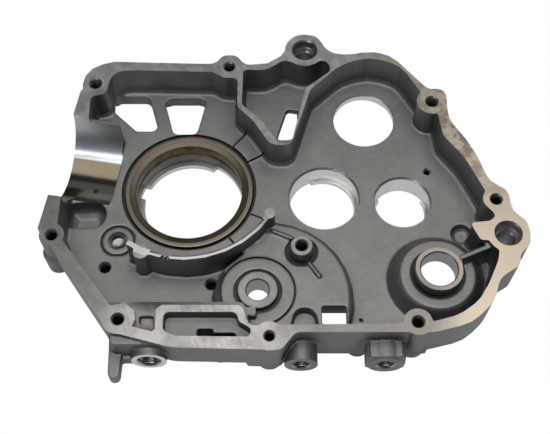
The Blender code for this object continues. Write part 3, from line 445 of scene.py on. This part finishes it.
def cast_finish():
    """Blasted aluminium: matte grey and mottled, with painted shade on inner walls and in corners."""
    finish = Finish("blasted_casting", Metallic=1.0)
    mottle = finish.noise(42.0, 3.0)
    grain = finish.noise(1500.0, 2.0, 0.6)
    skin = finish.noise(260.0, 4.0, 0.6)
    tone = (mottle * 0.45 + grain * 0.25 + skin * 0.3).clamp()
    dark = (0.265, 0.269, 0.273, 1)
    light = (0.345, 0.349, 0.353, 1)
    colour = finish.blend(finish.between(tone, 0.35, 0.65), dark, light)
    front = finish.between(finish.axis("Y"), -0.078, -0.088)
    front = front * finish.between(finish.axis("Z"), SPLIT_FACE, SPLIT_FACE - 3.0 * MM)
    colour = finish.blend(front * 0.15, colour, (0.12, 0.12, 0.115, 1))
    # Painted shade: walls that face sideways are darkened towards blue-black where the 25 mm occlusion is
    # deep, as on inner walls.
    painted_wall_shade = finish.between(finish.upward(), 0.75, 0.3) * finish.between(finish.crevices(25.0 * MM), 0.98, 0.6)
    colour = finish.blend(painted_wall_shade * 0.62, colour, (0.07, 0.08, 0.095, 1))
    # Painted shade: corners and grooves within 3 mm are darkened nearly to black.
    painted_crevice_shade = finish.between(finish.crevices(3.0 * MM), 0.1, 0.8)
    colour = finish.blend(painted_crevice_shade, (0.05, 0.052, 0.05, 1), colour)
    finish.shade(
        Base_Color=colour,
        Roughness=0.5 + 0.14 * tone,
        Normal=finish.bump(grain * 0.6 + skin * 0.9, 0.5, 0.09 * MM),
    )
    return finish.material


def grooved_finish():
    """Turned groove painted nearly black as shade."""
    finish = Finish("groove_painted_shade", Metallic=1.0)
    cloud = finish.noise(200.0, 3.0)
    # Painted shade: the groove's colour is nearly black.
    finish.shade(
        Base_Color=finish.blend(cloud, (0.03, 0.03, 0.028, 1), (0.09, 0.09, 0.085, 1)),
        Roughness=0.45 + 0.15 * cloud,
        Normal=finish.bump(cloud, 0.4, 0.05 * MM),
    )
    return finish.material


def milled_finish():
    """Face-milled aluminium: bright, with long arcs from the cutter, brown gasket stain to the right, a
    painted warm reflection over the right side and a painted highlight along the crank chamber wall's top.
    """
    finish = Finish("milled_face", Metallic=1.0)
    arcs = finish.node(
        "ShaderNodeTexWave",
        {"wave_type": "RINGS", "rings_direction": "Z", "wave_profile": "SAW"},
        {"Vector": finish.coordinates, "Scale": 260.0, "Distortion": 1.2, "Detail": 2.0, "Detail Scale": 1.5},
        "Fac",
    )
    scratches = finish.noise(900.0, 2.0, 0.6, finish.stretched((1.0, 9.0, 1.0), radians(24.0)))
    cloud = finish.noise(38.0, 4.0, 0.6)
    blotch = finish.noise(150.0, 5.0, 0.65)
    tone = (arcs * 0.1 + scratches * 0.2 + cloud * 0.3 + blotch * 0.4).clamp()
    colour = finish.blend(finish.between(tone, 0.36, 0.62), (0.29, 0.29, 0.292, 1), (0.53, 0.53, 0.535, 1))
    x = finish.axis("X")
    y = finish.axis("Y")
    z = finish.axis("Z")
    # The right side carries a painted warm beige reflection; the same side mask also limits the brown stain.
    right_painted_reflection = finish.between(x, 0.03, 0.115)
    stain = finish.between(y, -0.03, 0.04) * right_painted_reflection * finish.between(blotch, 0.42, 0.58)
    left_front = finish.between(x, -0.075, -0.105) * finish.between(y, 0.03, -0.01)
    middle_front = finish.between(x, -0.02, 0.02) * finish.between(x, 0.1, 0.075)
    middle_front = middle_front * finish.between(y, -0.04, -0.07)
    dull = (left_front * 0.7 + middle_front * 0.75) * finish.between(cloud, 0.2, 0.5)
    # Painted reflection: warm beige over the right side.
    colour = finish.blend(right_painted_reflection * 0.8, colour, (0.70, 0.60, 0.49, 1))
    colour = finish.blend(stain * 0.8, colour, (0.19, 0.16, 0.125, 1))
    colour = finish.blend(dull, colour, (0.17, 0.17, 0.165, 1))
    east = x - CRANK_AXIS.x
    north = y - CRANK_AXIS.y
    reach = (east * east + north * north) ** 0.5
    # Painted highlight: a near-white band along the front of the crank chamber wall's top.
    arc_top_highlight = finish.between(reach, 57.5 * MM, 57.0 * MM) * finish.between(reach, 53.0 * MM, 53.5 * MM)
    arc_top_highlight = arc_top_highlight * finish.between(north, -32.0 * MM, -42.0 * MM)
    colour = finish.blend(arc_top_highlight * 0.6, colour, (0.85, 0.86, 0.88, 1))
    low = finish.between(z, SPLIT_FACE - 1.0 * MM, SPLIT_FACE - 2.0 * MM)
    low = low * finish.between(z, COVER_FACE + 1.0 * MM, COVER_FACE + 2.0 * MM)
    colour = finish.blend(low * 0.45, colour, (0.15, 0.15, 0.145, 1))
    plug_face = finish.between(x, -0.045, -0.05) * finish.between(y, -0.0975, -0.0985)
    colour = finish.blend(plug_face, colour, (0.85, 0.86, 0.88, 1))
    finish.shade(
        Base_Color=colour,
        Roughness=0.3 + 0.2 * tone + 0.1 * stain,
        Normal=finish.bump(arcs * 0.2 + scratches * 0.3 + blotch * 0.5, 0.25, 0.03 * MM),
    )
    return finish.material


def bored_finish(name, low, high):
    """Bored or drilled aluminium between two tones, with fine turning lines round the hole and painted shade
    deep in its hollows.
    """
    finish = Finish(name, Metallic=1.0)
    lines = finish.noise(60.0, 3.0, 0.7, finish.stretched((1.0, 1.0, 0.012)))
    cloud = finish.noise(90.0, 2.0)
    tone = (lines * 0.6 + cloud * 0.4).clamp()
    # Painted shade: where the 7 mm occlusion is deep, the colour falls to a fifth of the darker tone.
    clear_of_painted_shade = finish.between(finish.crevices(7.0 * MM), 0.25, 0.6)
    bright = finish.blend(tone, (low, low, low, 1), (high, high, high, 1))
    finish.shade(
        Base_Color=finish.blend(clear_of_painted_shade, (0.2 * low, 0.2 * low, 0.2 * low, 1), bright),
        Roughness=0.2 + 0.16 * tone,
        Normal=finish.bump(lines, 1.0, 0.05 * MM),
    )
    return finish.material


def spigot_finish():
    """Half bore for the cylinder: satin, with turning lines across its axis, a painted warm reflection in a
    band past its bottom on the far side and a painted dark reflection over its bottom and near side.
    """
    finish = Finish("bored_spigot", Metallic=1.0)
    lines = finish.noise(60.0, 3.0, 0.7, finish.stretched((0.012, 1.0, 1.0), -SPIGOT_ANGLE))
    cloud = finish.noise(70.0, 3.0)
    tone = (lines * 0.55 + cloud * 0.45).clamp()
    side = (finish.axis("X") - CRANK_AXIS.x) * sin(SPIGOT_ANGLE)
    side = side + (finish.axis("Y") - CRANK_AXIS.y) * cos(SPIGOT_ANGLE)
    side = side + (lines - 0.5) * 1.2 * MM
    upper = finish.between(side, 14.0 * MM, 22.0 * MM)
    # Painted reflections: a warm brown band just past the bottom on the far side, and a dark olive band over
    # the bottom and near side.
    warm_reflection_band = finish.between(side, 13.6 * MM, 12.4 * MM)
    dark_reflection_side = finish.between(side, 3.6 * MM, 2.0 * MM)
    colour = finish.blend(tone, (0.52, 0.53, 0.56, 1), (0.70, 0.72, 0.75, 1))
    # Painted warm reflection, then painted dark reflection.
    colour = finish.blend(warm_reflection_band, colour, finish.blend(tone, (0.15, 0.125, 0.092, 1), (0.215, 0.185, 0.145, 1)))
    colour = finish.blend(dark_reflection_side, colour, finish.blend(tone, (0.085, 0.085, 0.07, 1), (0.15, 0.15, 0.13, 1)))
    finish.shade(
        Base_Color=colour,
        Roughness=0.14 + 0.06 * tone + 0.2 * upper,
        Normal=finish.bump(lines, 0.25, 0.02 * MM),
    )
    return finish.material


def steel_finish():
    """Turned steel sleeve: a dull grey ring, a brown step in its mouth, oily inside."""
    finish = Finish("oily_steel", Metallic=1.0)
    z = finish.axis("Z")
    lines = finish.noise(70.0, 3.0, 0.7, finish.stretched((1.0, 1.0, 0.014)))
    cloud = finish.noise(110.0, 4.0, 0.6)
    upper = finish.between(z, height(SLEEVE_TOP_DEPTH + 0.6), height(SLEEVE_TOP_DEPTH + 0.2))
    ring = finish.blend(cloud, (0.20, 0.187, 0.163, 1), (0.275, 0.26, 0.23, 1))
    inside = finish.blend(finish.between(cloud, 0.4, 0.6), (0.045, 0.03, 0.015, 1), (0.10, 0.075, 0.045, 1))
    foot = finish.between(z, height(FLOOR_DEPTH + 9.0), height(FLOOR_DEPTH + 12.0))
    inside = finish.blend(foot, inside, (0.10, 0.10, 0.095, 1))
    step = finish.between(z, height(SLEEVE_TOP_DEPTH + SLEEVE_STEP), height(SLEEVE_TOP_DEPTH + 1.3))
    inside = finish.blend(step, inside, finish.blend(cloud, (0.10, 0.088, 0.066, 1), (0.16, 0.142, 0.112, 1)))
    finish.shade(
        Base_Color=finish.blend(upper, inside, ring),
        Roughness=0.3 + 0.16 * cloud,
        Normal=finish.bump(lines, 0.25, 0.02 * MM),
    )
    return finish.material


def add(name, data):
    """New object in the scene."""
    thing = bpy.data.objects.new(name, data)
    bpy.context.scene.collection.objects.link(thing)
    return thing


def baked(name, shape):
    """Mesh from a bmesh, with its faces turned outwards."""
    mesh = bpy.data.meshes.new(name)
    bmesh.ops.recalc_face_normals(shape, faces=shape.faces)
    shape.to_mesh(mesh)
    shape.free()
    return mesh


def new_object(name, shape, finish):
    """Object from a bmesh, at the origin."""
    mesh = baked(name, shape)
    mesh.materials.append(finish)
    return add(name, mesh)


def cutters(shapes, finish):
    """Cutting tools that leave a finish on the faces they cut."""
    return [new_object("cutter", shape, finish) for shape in shapes]


def skinned(rings, hollow=False):
    """Closed bmesh through rings of world points; a hollow one joins its last ring to its first."""
    shape = bmesh.new()
    made = [[shape.verts.new(point) for point in ring] for ring in rings]
    after = made[1:] + made[:1] if hollow else made[1:]
    for low, high in zip(made, after):
        for i in range(len(low)):
            j = (i + 1) % len(low)
            shape.faces.new((low[i], low[j], high[j], high[i]))
    if not hollow:
        shape.faces.new(made[0][::-1])
        shape.faces.new(made[-1])
    return shape


def around(sides):
    """Angles of a full turn."""
    return [2 * pi * i / sides for i in range(sides)]


def upright(centre, profile, sides=96, hollow=False):
    """Turned solid on a vertical axis, through radius and depth pairs."""
    x, y = centre
    return skinned([
        [place(x + radius * cos(a), y + radius * sin(a), depth) for a in around(sides)]
        for radius, depth in profile
    ], hollow)


def plain(centre, radius, top, bottom, sides=96):
    """Upright cylinder between two depths."""
    return upright(centre, [(radius, top), (radius, bottom)], sides)


def prism(corners, top, bottom):
    """Upright block with these corners in plan."""
    return skinned([[place(x, y, depth) for x, y in corners] for depth in (top, bottom)])


def level_drill(x, depth, profile, sides=64):
    """Turned solid on an axis along Y, through radius and y pairs."""
    return skinned([
        [place(x + radius * cos(a), y, depth - radius * sin(a)) for a in around(sides)]
        for radius, y in profile
    ])


def thread_profile(radius, start, blind, step=1.0):
    """Radius and level pairs for a drilled hole with a chamfered mouth; a step of -1 drills upwards."""
    return [
        (radius + CHAMFER + OVERRUN, start - OVERRUN * step),
        (radius + CHAMFER, start),
        (radius, start + CHAMFER * step),
        (radius, start + blind * step),
    ]


def threaded(radius, start, blind, ring_at, sides=28):
    """Drill with a helical thread; ring_at gives a world point from radius, angle and level."""
    rings = []
    steps = 5
    for radius_here, level in thread_profile(radius, start, blind)[:2]:
        rings.append([ring_at(radius_here, a, level) for a in around(sides)])
    for k in range(THREAD_TURNS * steps + 1):
        travel = CHAMFER + k * THREAD_PITCH / steps
        fade = min(1.0, k / steps, THREAD_TURNS - k / steps)
        ring = []
        for i, a in enumerate(around(sides)):
            phase = (travel / THREAD_PITCH - i / sides) % 1.0
            crest = THREAD_HEIGHT * fade * (1 - abs(2 * phase - 1))
            ring.append(ring_at(radius + crest, a, start + travel))
        rings.append(ring)
    rings.append([ring_at(radius, a, start + blind) for a in around(sides)])
    return skinned(rings)


def threaded_upright(centre, radius, depth, blind):
    """Threaded hole that opens upwards."""
    def ring_at(r, a, level):
        return place(centre[0] + r * cos(a), centre[1] + r * sin(a), level)

    return threaded(radius, depth, blind, ring_at)


def threaded_front(x, depth, radius):
    """Threaded hole that opens towards the front wall."""
    def ring_at(r, a, level):
        return place(x + r * cos(a), level, depth - r * sin(a))

    return threaded(radius, FRONT_FACE, FRONT_HOLE_DEPTH, ring_at)


def sector_loop(radius, small_radius, sectors):
    """Radius at each angle of a bore whose lip stands in over the given sectors."""
    sides = 240
    loop = []
    for i in range(sides):
        angle = 360.0 * i / sides
        inside = any((angle - first) % 360.0 < (last - first) for first, last in sectors)
        loop.append((small_radius if inside else radius, radians(angle)))
    return loop


def throat(centre, radius, small_radius, sectors, top, bottom):
    """Opening below a bearing seat, with a broken retaining lip."""
    loop = sector_loop(radius, small_radius, sectors)
    return skinned([
        [place(centre[0] + r * cos(a), centre[1] + r * sin(a), depth) for r, a in loop]
        for depth in (top, bottom)
    ])


def slab(low, high):
    """Block between two world corners."""
    return skinned([
        [(low.x, low.y, z), (high.x, low.y, z), (high.x, high.y, z), (low.x, high.y, z)]
        for z in (low.z, high.z)
    ])


def spigot_tool(radius, near, far, sides=180):
    """Turned solid on the cylinder axis, which lies in the split face."""
    along, across = spigot_frame()
    start = place(0.0, 0.0, 0.0)
    rings = []
    for distance in (near, far):
        middle = start + along * distance * MM
        rings.append([
            middle + across * (radius * MM * cos(a)) + Vector((0, 0, radius * MM * sin(a)))
            for a in around(sides)
        ])
    return skinned(rings)


def apply_modifiers(thing):
    """Bakes an object's modifiers into its mesh."""
    graph = bpy.context.evaluated_depsgraph_get()
    mesh = bpy.data.meshes.new_from_object(thing.evaluated_get(graph))
    thing.modifiers.clear()
    thing.data = mesh


def push_faces(shape, chosen, move):
    """Extrudes faces as one region and moves the new cap by a function of each point."""
    if not chosen:
        return
    made = bmesh.ops.extrude_face_region(shape, geom=chosen)["geom"]
    for part in made:
        if isinstance(part, bmesh.types.BMVert):
            part.co += move(part.co)
    bmesh.ops.delete(shape, geom=chosen, context="FACES")


def add_stock(shape):
    """Adds stock to the faces that will be machined, so that their edges come out crisp."""
    along = spigot_frame()[0]
    origin = place(0.0, 0.0, 0.0)
    near = 0.02 * MM
    same_radius = 0.2
    facing = 0.98
    flat = 0.999

    def from_axis(point):
        offset = point - origin
        return offset - along * offset.dot(along)

    bore = []
    for face in shape.faces:
        centre = face.calc_center_median()
        offset = from_axis(centre)
        reach = (centre - origin).dot(along) / MM
        fits = abs(offset.length / MM - SPIGOT_RADIUS) < same_radius and SPIGOT_START < reach
        if fits and offset.z < 0.0 and face.normal.dot(offset.normalized()) < -facing:
            bore.append(face)
    push_faces(shape, bore, lambda point: from_axis(point).normalized() * -BORE_STOCK * MM)
    shape.normal_update()
    planes = [
        (Vector((0, 0, 1)), SPLIT_FACE),
        (Vector((0, 0, -1)), -COVER_FACE),
        (along, along.dot(origin) + GASKET_DISTANCE * MM),
        (Vector((0, -1, 0)), -(CRANK_AXIS.y + FRONT_FACE * MM)),
    ]
    for normal, distance in planes:
        chosen = [
            face for face in shape.faces
            if face.normal.dot(normal) > flat
            and abs(face.calc_center_median().dot(normal) - distance) < near
        ]
        push_faces(shape, chosen, lambda point, normal=normal: normal * STOCK * MM)


def plugs():
    """Solids that fill the holes before the skin is smoothed."""
    floor_under = FLOOR_DEPTH + PLUG_OVERRUN
    made = [
        plain((0, 0), CRANK_GROOVE + PLUG_MARGIN, FLOOR_DEPTH, CASE_DEPTH + STOCK),
        plain(KICK_CENTRE, KICK_HOLE + PLUG_MARGIN, KICK_TOP_DEPTH, KICK_PLUG_DEPTH),
        plain(SHIFT_CENTRE, SHIFT_HOLE + PLUG_MARGIN, SHIFT_TOP_DEPTH, SHIFT_PLUG_DEPTH),
        plain(STUD_CENTRE, STUD_HOLE + PLUG_MARGIN, STUD_TOP_DEPTH, floor_under),
        plain(DRAIN_BACK_CENTRE, DRAIN_BACK_PLUG[0], FLOOR_DEPTH, DRAIN_BACK_PLUG[1]),
    ]
    for centre, seat, _, _ in SHAFT_BORES:
        bottom = FLOOR_DEPTH + SHAFT_SEAT + SHAFT_LIP
        made.append(plain(centre, seat + SHAFT_MOUTH + PLUG_MARGIN, FLOOR_DEPTH, bottom))
    centre, radius = DRUM_HOLE
    made.append(plain(centre, radius + PLUG_MARGIN, FLOOR_DEPTH, FLOOR_DEPTH + WEB))
    for x, y, radius in BOLT_HOLES:
        made.append(plain((x, y), radius + CHAMFER + PLUG_MARGIN, -STOCK, BOLT_DEPTH + PLUG_OVERRUN, 32))
    for centre in MOUNTS:
        made.append(plain(centre, MOUNT_COUNTERBORE + PLUG_MARGIN, -STOCK, MOUNT_DEPTH, 32))
    for x, y, radius in FLOOR_HOLES:
        bottom = FLOOR_DEPTH + FLOOR_HOLE_DEPTH + PLUG_OVERRUN
        made.append(plain((x, y), radius + PLUG_MARGIN, FLOOR_DEPTH, bottom, 32))
    for x, depth, radius in FRONT_HOLES:
        wide = radius + PLUG_MARGIN
        ends = [(wide, FRONT_FACE - STOCK), (wide, FRONT_FACE + FRONT_HOLE_DEPTH)]
        made.append(level_drill(x, depth, ends, 32))
    for centre in COVER_SCREWS:
        top = CASE_DEPTH - COVER_SCREW_DEPTH - PLUG_OVERRUN
        made.append(plain(centre, COVER_SCREW + PLUG_MARGIN, top, CASE_DEPTH + STOCK, 24))
    return made


def feet():
    """Lower edge of the front wall, with the feet of two bolt bosses and the rear foot-peg boss."""
    made = []
    for centre, radius, top, bottom in BOSS_FEET:
        made.append(upright(centre, [(radius, top), (radius - BOSS_FOOT_DRAFT, bottom)], 48))
    for corners, top, bottom in WALL_FEET:
        made.append(prism(corners, top, bottom))
    x, depth, radius = PEG_BLOCK
    made.append(level_drill(x, depth, [
        (radius - PEG_BLOCK_EDGE, FRONT_FACE),
        (radius, FRONT_FACE + PEG_BLOCK_EDGE),
        (radius, PEG_BLOCK_BACK),
    ], 48))
    return made


def cast_skin(finish):
    """The casting before it is machined: filled, remeshed, smoothed and thinned out."""
    shape = bmesh.new()
    shape.from_mesh(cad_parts["crankcase_casting"].data)
    bmesh.ops.remove_doubles(shape, verts=shape.verts, dist=0.001 * MM)
    add_stock(shape)
    for plug in plugs() + feet():
        extra = baked("plug", plug)
        shape.from_mesh(extra)
        bpy.data.meshes.remove(extra)
    mesh = bpy.data.meshes.new("casting_skin")
    shape.to_mesh(mesh)
    shape.free()
    skin = add("casting_skin", mesh)
    remesh = skin.modifiers.new("remesh", "REMESH")
    remesh.mode = "VOXEL"
    remesh.voxel_size = SKIN_VOXEL * MM
    soften = skin.modifiers.new("soften", "SMOOTH")
    soften.factor = 0.5
    soften.iterations = SKIN_SMOOTHING
    apply_modifiers(skin)
    thin = skin.modifiers.new("thin", "DECIMATE")
    thin.ratio = SKIN_FACES / (2 * len(skin.data.polygons))
    apply_modifiers(skin)
    skin.data.materials.clear()
    skin.data.materials.append(finish)
    return skin


def bearing_cutters(bored):
    """Crank bore, gearbox bearing seats and the shift drum hole."""
    below = CASE_DEPTH + OVERRUN
    made = [
        plain((0, 0), CRANK_BORE, FLOOR_DEPTH - OVERRUN, CRANK_LIP_DEPTH, 192),
        throat((0, 0), CRANK_THROAT, CRANK_LIP, CRANK_LIP_SECTORS, CRANK_LIP_DEPTH - 1.0, below),
    ]
    for centre, seat, lip, sectors in SHAFT_BORES:
        ledge = FLOOR_DEPTH + SHAFT_SEAT
        made.append(upright(centre, [
            (seat + SHAFT_MOUTH + OVERRUN, FLOOR_DEPTH - OVERRUN),
            (seat + SHAFT_MOUTH, FLOOR_DEPTH),
            (seat, FLOOR_DEPTH + SHAFT_MOUTH),
            (seat, ledge),
        ], 144))
        made.append(throat(centre, seat, lip, sectors, ledge - 0.5, ledge + SHAFT_LIP + OVERRUN))
    centre, radius = DRUM_HOLE
    made.append(upright(centre, [
        (radius + DRUM_MOUTH + OVERRUN, FLOOR_DEPTH - OVERRUN),
        (radius + DRUM_MOUTH, FLOOR_DEPTH),
        (radius, FLOOR_DEPTH + DRUM_MOUTH),
        (radius, FLOOR_DEPTH + WEB + 0.2),
        (radius + DRUM_CLEARANCE, FLOOR_DEPTH + WEB + 1.0),
        (radius + DRUM_CLEARANCE, CASE_DEPTH - 1.0),
    ], 120))
    return cutters(made, bored)


def arc_ledge():
    """Tool for the low inner half of the crank chamber wall's top."""
    inner, outer, first, last, depth = ARC_LEDGE
    turns = [radians(first + (last - first) * i / ARC_LEDGE_STEPS) for i in range(ARC_LEDGE_STEPS + 1)]
    corners = [(outer * cos(a), outer * sin(a)) for a in turns]
    corners += [(inner * cos(a), inner * sin(a)) for a in reversed(turns)]
    return prism(corners, -OVERRUN, depth)


def cored_cutters(cast):
    """Forms that belong to the cast skin: hollows under the bosses, gallery step, case corner and ledge."""
    made = [plain(*hollow) for hollow in BOSS_HOLLOWS]
    made.append(prism(GALLERY_STEP, -OVERRUN, GALLERY_STEP_DEPTH))
    made.append(prism(CASE_CORNER, -2 * STOCK, CASE_DEPTH + 2 * STOCK))
    made.append(prism(*WINDOW_HOLLOW))
    made.append(arc_ledge())
    return cutters(made, cast)


def groove_cutters(grooved):
    """Groove round the sleeve, those round the bosses and the scored lines at the ends of the floor pads."""
    made = [plain((0, 0), CRANK_GROOVE, FLOOR_DEPTH - OVERRUN, FLOOR_DEPTH + CRANK_GROOVE_DEPTH, 192)]
    for angle, reach in PAD_ENDS:
        along = Vector((cos(radians(angle)), sin(radians(angle))))
        across = Vector((-along.y, along.x)) * PAD_LINE / 2
        near = along * (CRANK_GROOVE - 1.0)
        far = along * (reach + 1.0)
        corners = [near - across, far - across, far + across, near + across]
        made.append(prism(corners, FLOOR_DEPTH - PAD_HEIGHT - OVERRUN, FLOOR_DEPTH + PAD_LINE_DEPTH))
    for centre, inner, outer, top, bottom in RING_GROOVES:
        mouth = top - OVERRUN
        section = [(inner, bottom), (outer, bottom), (outer, mouth), (inner, mouth)]
        made.append(upright(centre, section, hollow=True))
    return cutters(made, grooved)


def drilled_cutters(drilled):
    """Shaft holes, tapped holes and drillings."""
    made = [
        upright(KICK_CENTRE, thread_profile(KICK_HOLE, KICK_TOP_DEPTH, CASE_DEPTH)),
        upright(SHIFT_CENTRE, thread_profile(SHIFT_HOLE, SHIFT_TOP_DEPTH, CASE_DEPTH)),
        threaded_upright(STUD_CENTRE, STUD_HOLE, STUD_TOP_DEPTH, FLOOR_DEPTH - STUD_TOP_DEPTH),
    ]
    for x, y, radius in BOLT_HOLES:
        made.append(threaded_upright((x, y), radius, 0.0, BOLT_DEPTH))
    for centre in MOUNTS:
        seat = MOUNT_COUNTERBORE_DEPTH - 0.01
        made.append(upright(centre, thread_profile(MOUNT_COUNTERBORE, 0.0, MOUNT_COUNTERBORE_DEPTH), 64))
        made.append(upright(centre, thread_profile(MOUNT_BORE, seat, CASE_DEPTH), 64))
    for x, y, radius in FLOOR_HOLES:
        made.append(threaded_upright((x, y), radius, FLOOR_DEPTH, FLOOR_HOLE_DEPTH))
    made.append(upright(DRAIN_BACK_CENTRE, [
        (DRAIN_BACK_HOLE + DRAIN_BACK_CHAMFER + OVERRUN, FLOOR_DEPTH - OVERRUN),
        (DRAIN_BACK_HOLE + DRAIN_BACK_CHAMFER, FLOOR_DEPTH),
        (DRAIN_BACK_HOLE, FLOOR_DEPTH + DRAIN_BACK_CHAMFER),
        (DRAIN_BACK_HOLE, FLOOR_DEPTH + DRAIN_BACK_DEPTH),
        (DRAIN_BACK_POINT, FLOOR_DEPTH + DRAIN_BACK_DEPTH + DRAIN_BACK_CHAMFER),
    ], 64))
    for x, depth, radius in FRONT_HOLES:
        made.append(threaded_front(x, depth, radius))
    for centre in COVER_SCREWS:
        profile = thread_profile(COVER_SCREW, CASE_DEPTH, COVER_SCREW_DEPTH, step=-1.0)
        made.append(upright(centre, profile, 32))
    return cutters(made, drilled)


def facing_cutters(milled):
    """Blocks that mill the split face, cover face, gasket face, front bosses and boss tops flat."""
    margin = Vector((0.05, 0.05, 0.05))
    low = case_low - margin
    high = case_high + margin
    along, across = spigot_frame()
    gasket = place(0, 0, 0) + along * GASKET_DISTANCE * MM
    side = across * GASKET_SIDE * MM
    beyond = along * 4 * STOCK * MM
    corners = [gasket - side, gasket + side, gasket + side + beyond, gasket - side + beyond]
    top = Vector((0, 0, 3 * STOCK * MM))
    bottom = Vector((0, 0, -(CASE_DEPTH + 3 * STOCK) * MM))
    made = [
        slab(Vector((low.x, low.y, SPLIT_FACE)), high),
        slab(low, Vector((high.x, high.y, COVER_FACE))),
        skinned([[corner + bottom for corner in corners], [corner + top for corner in corners]]),
    ]
    for x, depth, radius in FRONT_HOLES:
        wide = radius + FRONT_FACING
        made.append(level_drill(x, depth, [(wide, FRONT_FACE - 3 * STOCK), (wide, FRONT_FACE)], 32))
    for centre, radius, depth in BOSS_TOPS:
        made.append(plain(centre, radius, depth - OVERRUN, depth + BOSS_FACING))
    return cutters(made, milled)


def machine(skin, tools):
    """Cuts the casting with each tool in turn; cut faces take the tool's finish."""
    for tool in tools:
        step = skin.modifiers.new("cut", "BOOLEAN")
        step.operation = "DIFFERENCE"
        step.solver = "MANIFOLD"
        step.material_mode = "TRANSFER"
        step.object = tool
    apply_modifiers(skin)
    for tool in tools:
        bpy.data.objects.remove(tool, do_unlink=True)


def shade(thing):
    """Smooth shading that breaks at the corners of machined faces; the cast skin has material 0."""
    shape = bmesh.new()
    shape.from_mesh(thing.data)
    for face in shape.faces:
        face.smooth = True
    for edge in shape.edges:
        if len(edge.link_faces) == 2:
            machined = any(face.material_index > 0 for face in edge.link_faces)
            edge.smooth = not (machined and edge.calc_face_angle(0.0) > radians(CRISP_ANGLE))
    shape.to_mesh(thing.data)
    shape.free()
    weigh = thing.modifiers.new("weigh", "WEIGHTED_NORMAL")
    weigh.keep_sharp = True
    weigh.weight = 60


def casting(cast, grooved, milled, bored, drilled, spigot):
    """The crankcase casting, machined from its cast skin."""
    piece = cast_skin(cast)
    tools = facing_cutters(milled) + cored_cutters(cast) + groove_cutters(grooved)
    tools += bearing_cutters(bored) + drilled_cutters(drilled)
    tools += cutters([spigot_tool(SPIGOT_RADIUS, SPIGOT_START, GASKET_DISTANCE + SPIGOT_OVERRUN)], spigot)
    machine(piece, tools)
    piece.name = "casting_body"
    shade(piece)
    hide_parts("crankcase_casting")
    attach(piece, "root")


def sleeve(steel):
    """Bearing sleeve with a step in its mouth and an oil groove inside."""
    top = SLEEVE_TOP_DEPTH
    bottom = CASE_DEPTH - sleeve_low.z / MM
    section = [(SLEEVE_INNER, bottom)]
    section += [(SLEEVE_INNER + out, top + down) for out, down in SLEEVE_INSIDE]
    section += [(SLEEVE_OUTER + out, top + down) for out, down in SLEEVE_EDGE]
    section.append((SLEEVE_OUTER, bottom))
    piece = new_object("sleeve_ring", upright((0.0, 0.0), section, SLEEVE_SIDES, hollow=True), steel)
    piece.data.shade_smooth()
    piece.data.set_sharp_from_angle(angle=radians(CRISP_ANGLE))
    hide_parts("main_bearing_sleeve")
    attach(piece, "root")


def floor_finish():
    """White paper that stays white where it is seen and lies dim in what it lights and mirrors."""
    finish = Finish("pale_floor", Base_Color=FLOOR_COLOUR, Roughness=0.9)
    paper = Channel(finish, finish.shader.outputs[0])
    white = finish.node("ShaderNodeEmission", {}, {"Strength": 1.0})
    seen = finish.node("ShaderNodeLightPath", {}, {}, "Is Camera Ray")
    mirrored = finish.node("ShaderNodeLightPath", {}, {}, "Is Glossy Ray")
    mixed = finish.node("ShaderNodeMixShader", {}, {0: seen + mirrored * FLOOR_GLOW, 1: paper, 2: white})
    finish.feed(finish.tree.nodes["Material Output"].inputs["Surface"], mixed)
    return finish.material


def stage():
    """Pale floor that reaches past the camera's view."""
    low = Vector((-FLOOR_REACH, -FLOOR_REACH, COVER_FACE - FLOOR_THICKNESS))
    high = Vector((FLOOR_REACH, FLOOR_REACH, COVER_FACE))
    new_object("studio_floor", slab(low, high), floor_finish())


def aim(thing, spot, target):
    """Puts a light or camera somewhere and turns it towards a target."""
    thing.location = spot
    thing.rotation_euler = (Vector(target) - Vector(spot)).to_track_quat("-Z", "Y").to_euler()


def panel(name, spot, target, size, brightness, colour):
    """Soft rectangular light that looks this bright and faces a target."""
    lamp = bpy.data.lights.new(name, "AREA")
    lamp.shape = "RECTANGLE"
    lamp.size, lamp.size_y = size
    lamp.energy = brightness * pi * size[0] * size[1]
    lamp.color = colour
    thing = add(name, lamp)
    aim(thing, spot, target)
    return thing


def lights():
    """A broad panel overhead, turned a little, a dimmer one behind it and a narrow one at the left."""
    lamps = {settings[0]: panel(*settings) for settings in PANELS}
    lamps["overhead"].rotation_euler.z = radians(OVERHEAD_TURN)


def room():
    """Dim surroundings, cooler at the front and warmer behind, and plain view colours."""
    world = bpy.data.worlds.new("studio")
    graph = Graph(world)
    side = graph.part(graph.node("ShaderNodeTexCoord", {}, {}, "Generated"), "Y")
    behind = graph.node("ShaderNodeMapRange", {}, {"Value": side, "From Min": -0.6, "From Max": 0.6})
    colour = graph.blend(behind, (0.055, 0.07, 0.085, 1.0), (0.10, 0.09, 0.07, 1.0))
    graph.feed(graph.tree.nodes["Background"].inputs["Color"], colour)
    bpy.context.scene.world = world
    bpy.context.scene.view_settings.view_transform = "Standard"


def camera():
    """Camera at the photograph's angle."""
    lens = bpy.data.cameras.new("photo_camera")
    lens.lens = CAMERA_LENS
    lens.sensor_width = 36.0
    lens.clip_start = 0.01
    thing = add("photo_camera", lens)
    aim(thing, CAMERA_PLACE, CAMERA_TARGET)
    bpy.context.scene.camera = thing


camera()
casting(
    cast_finish(),
    grooved_finish(),
    milled_finish(),
    bored_finish("bored_seat", 0.64, 0.95),
    bored_finish("drilled_hole", 0.22, 0.6),
    spigot_finish(),
)
sleeve(steel_finish())
stage()
lights()
room()
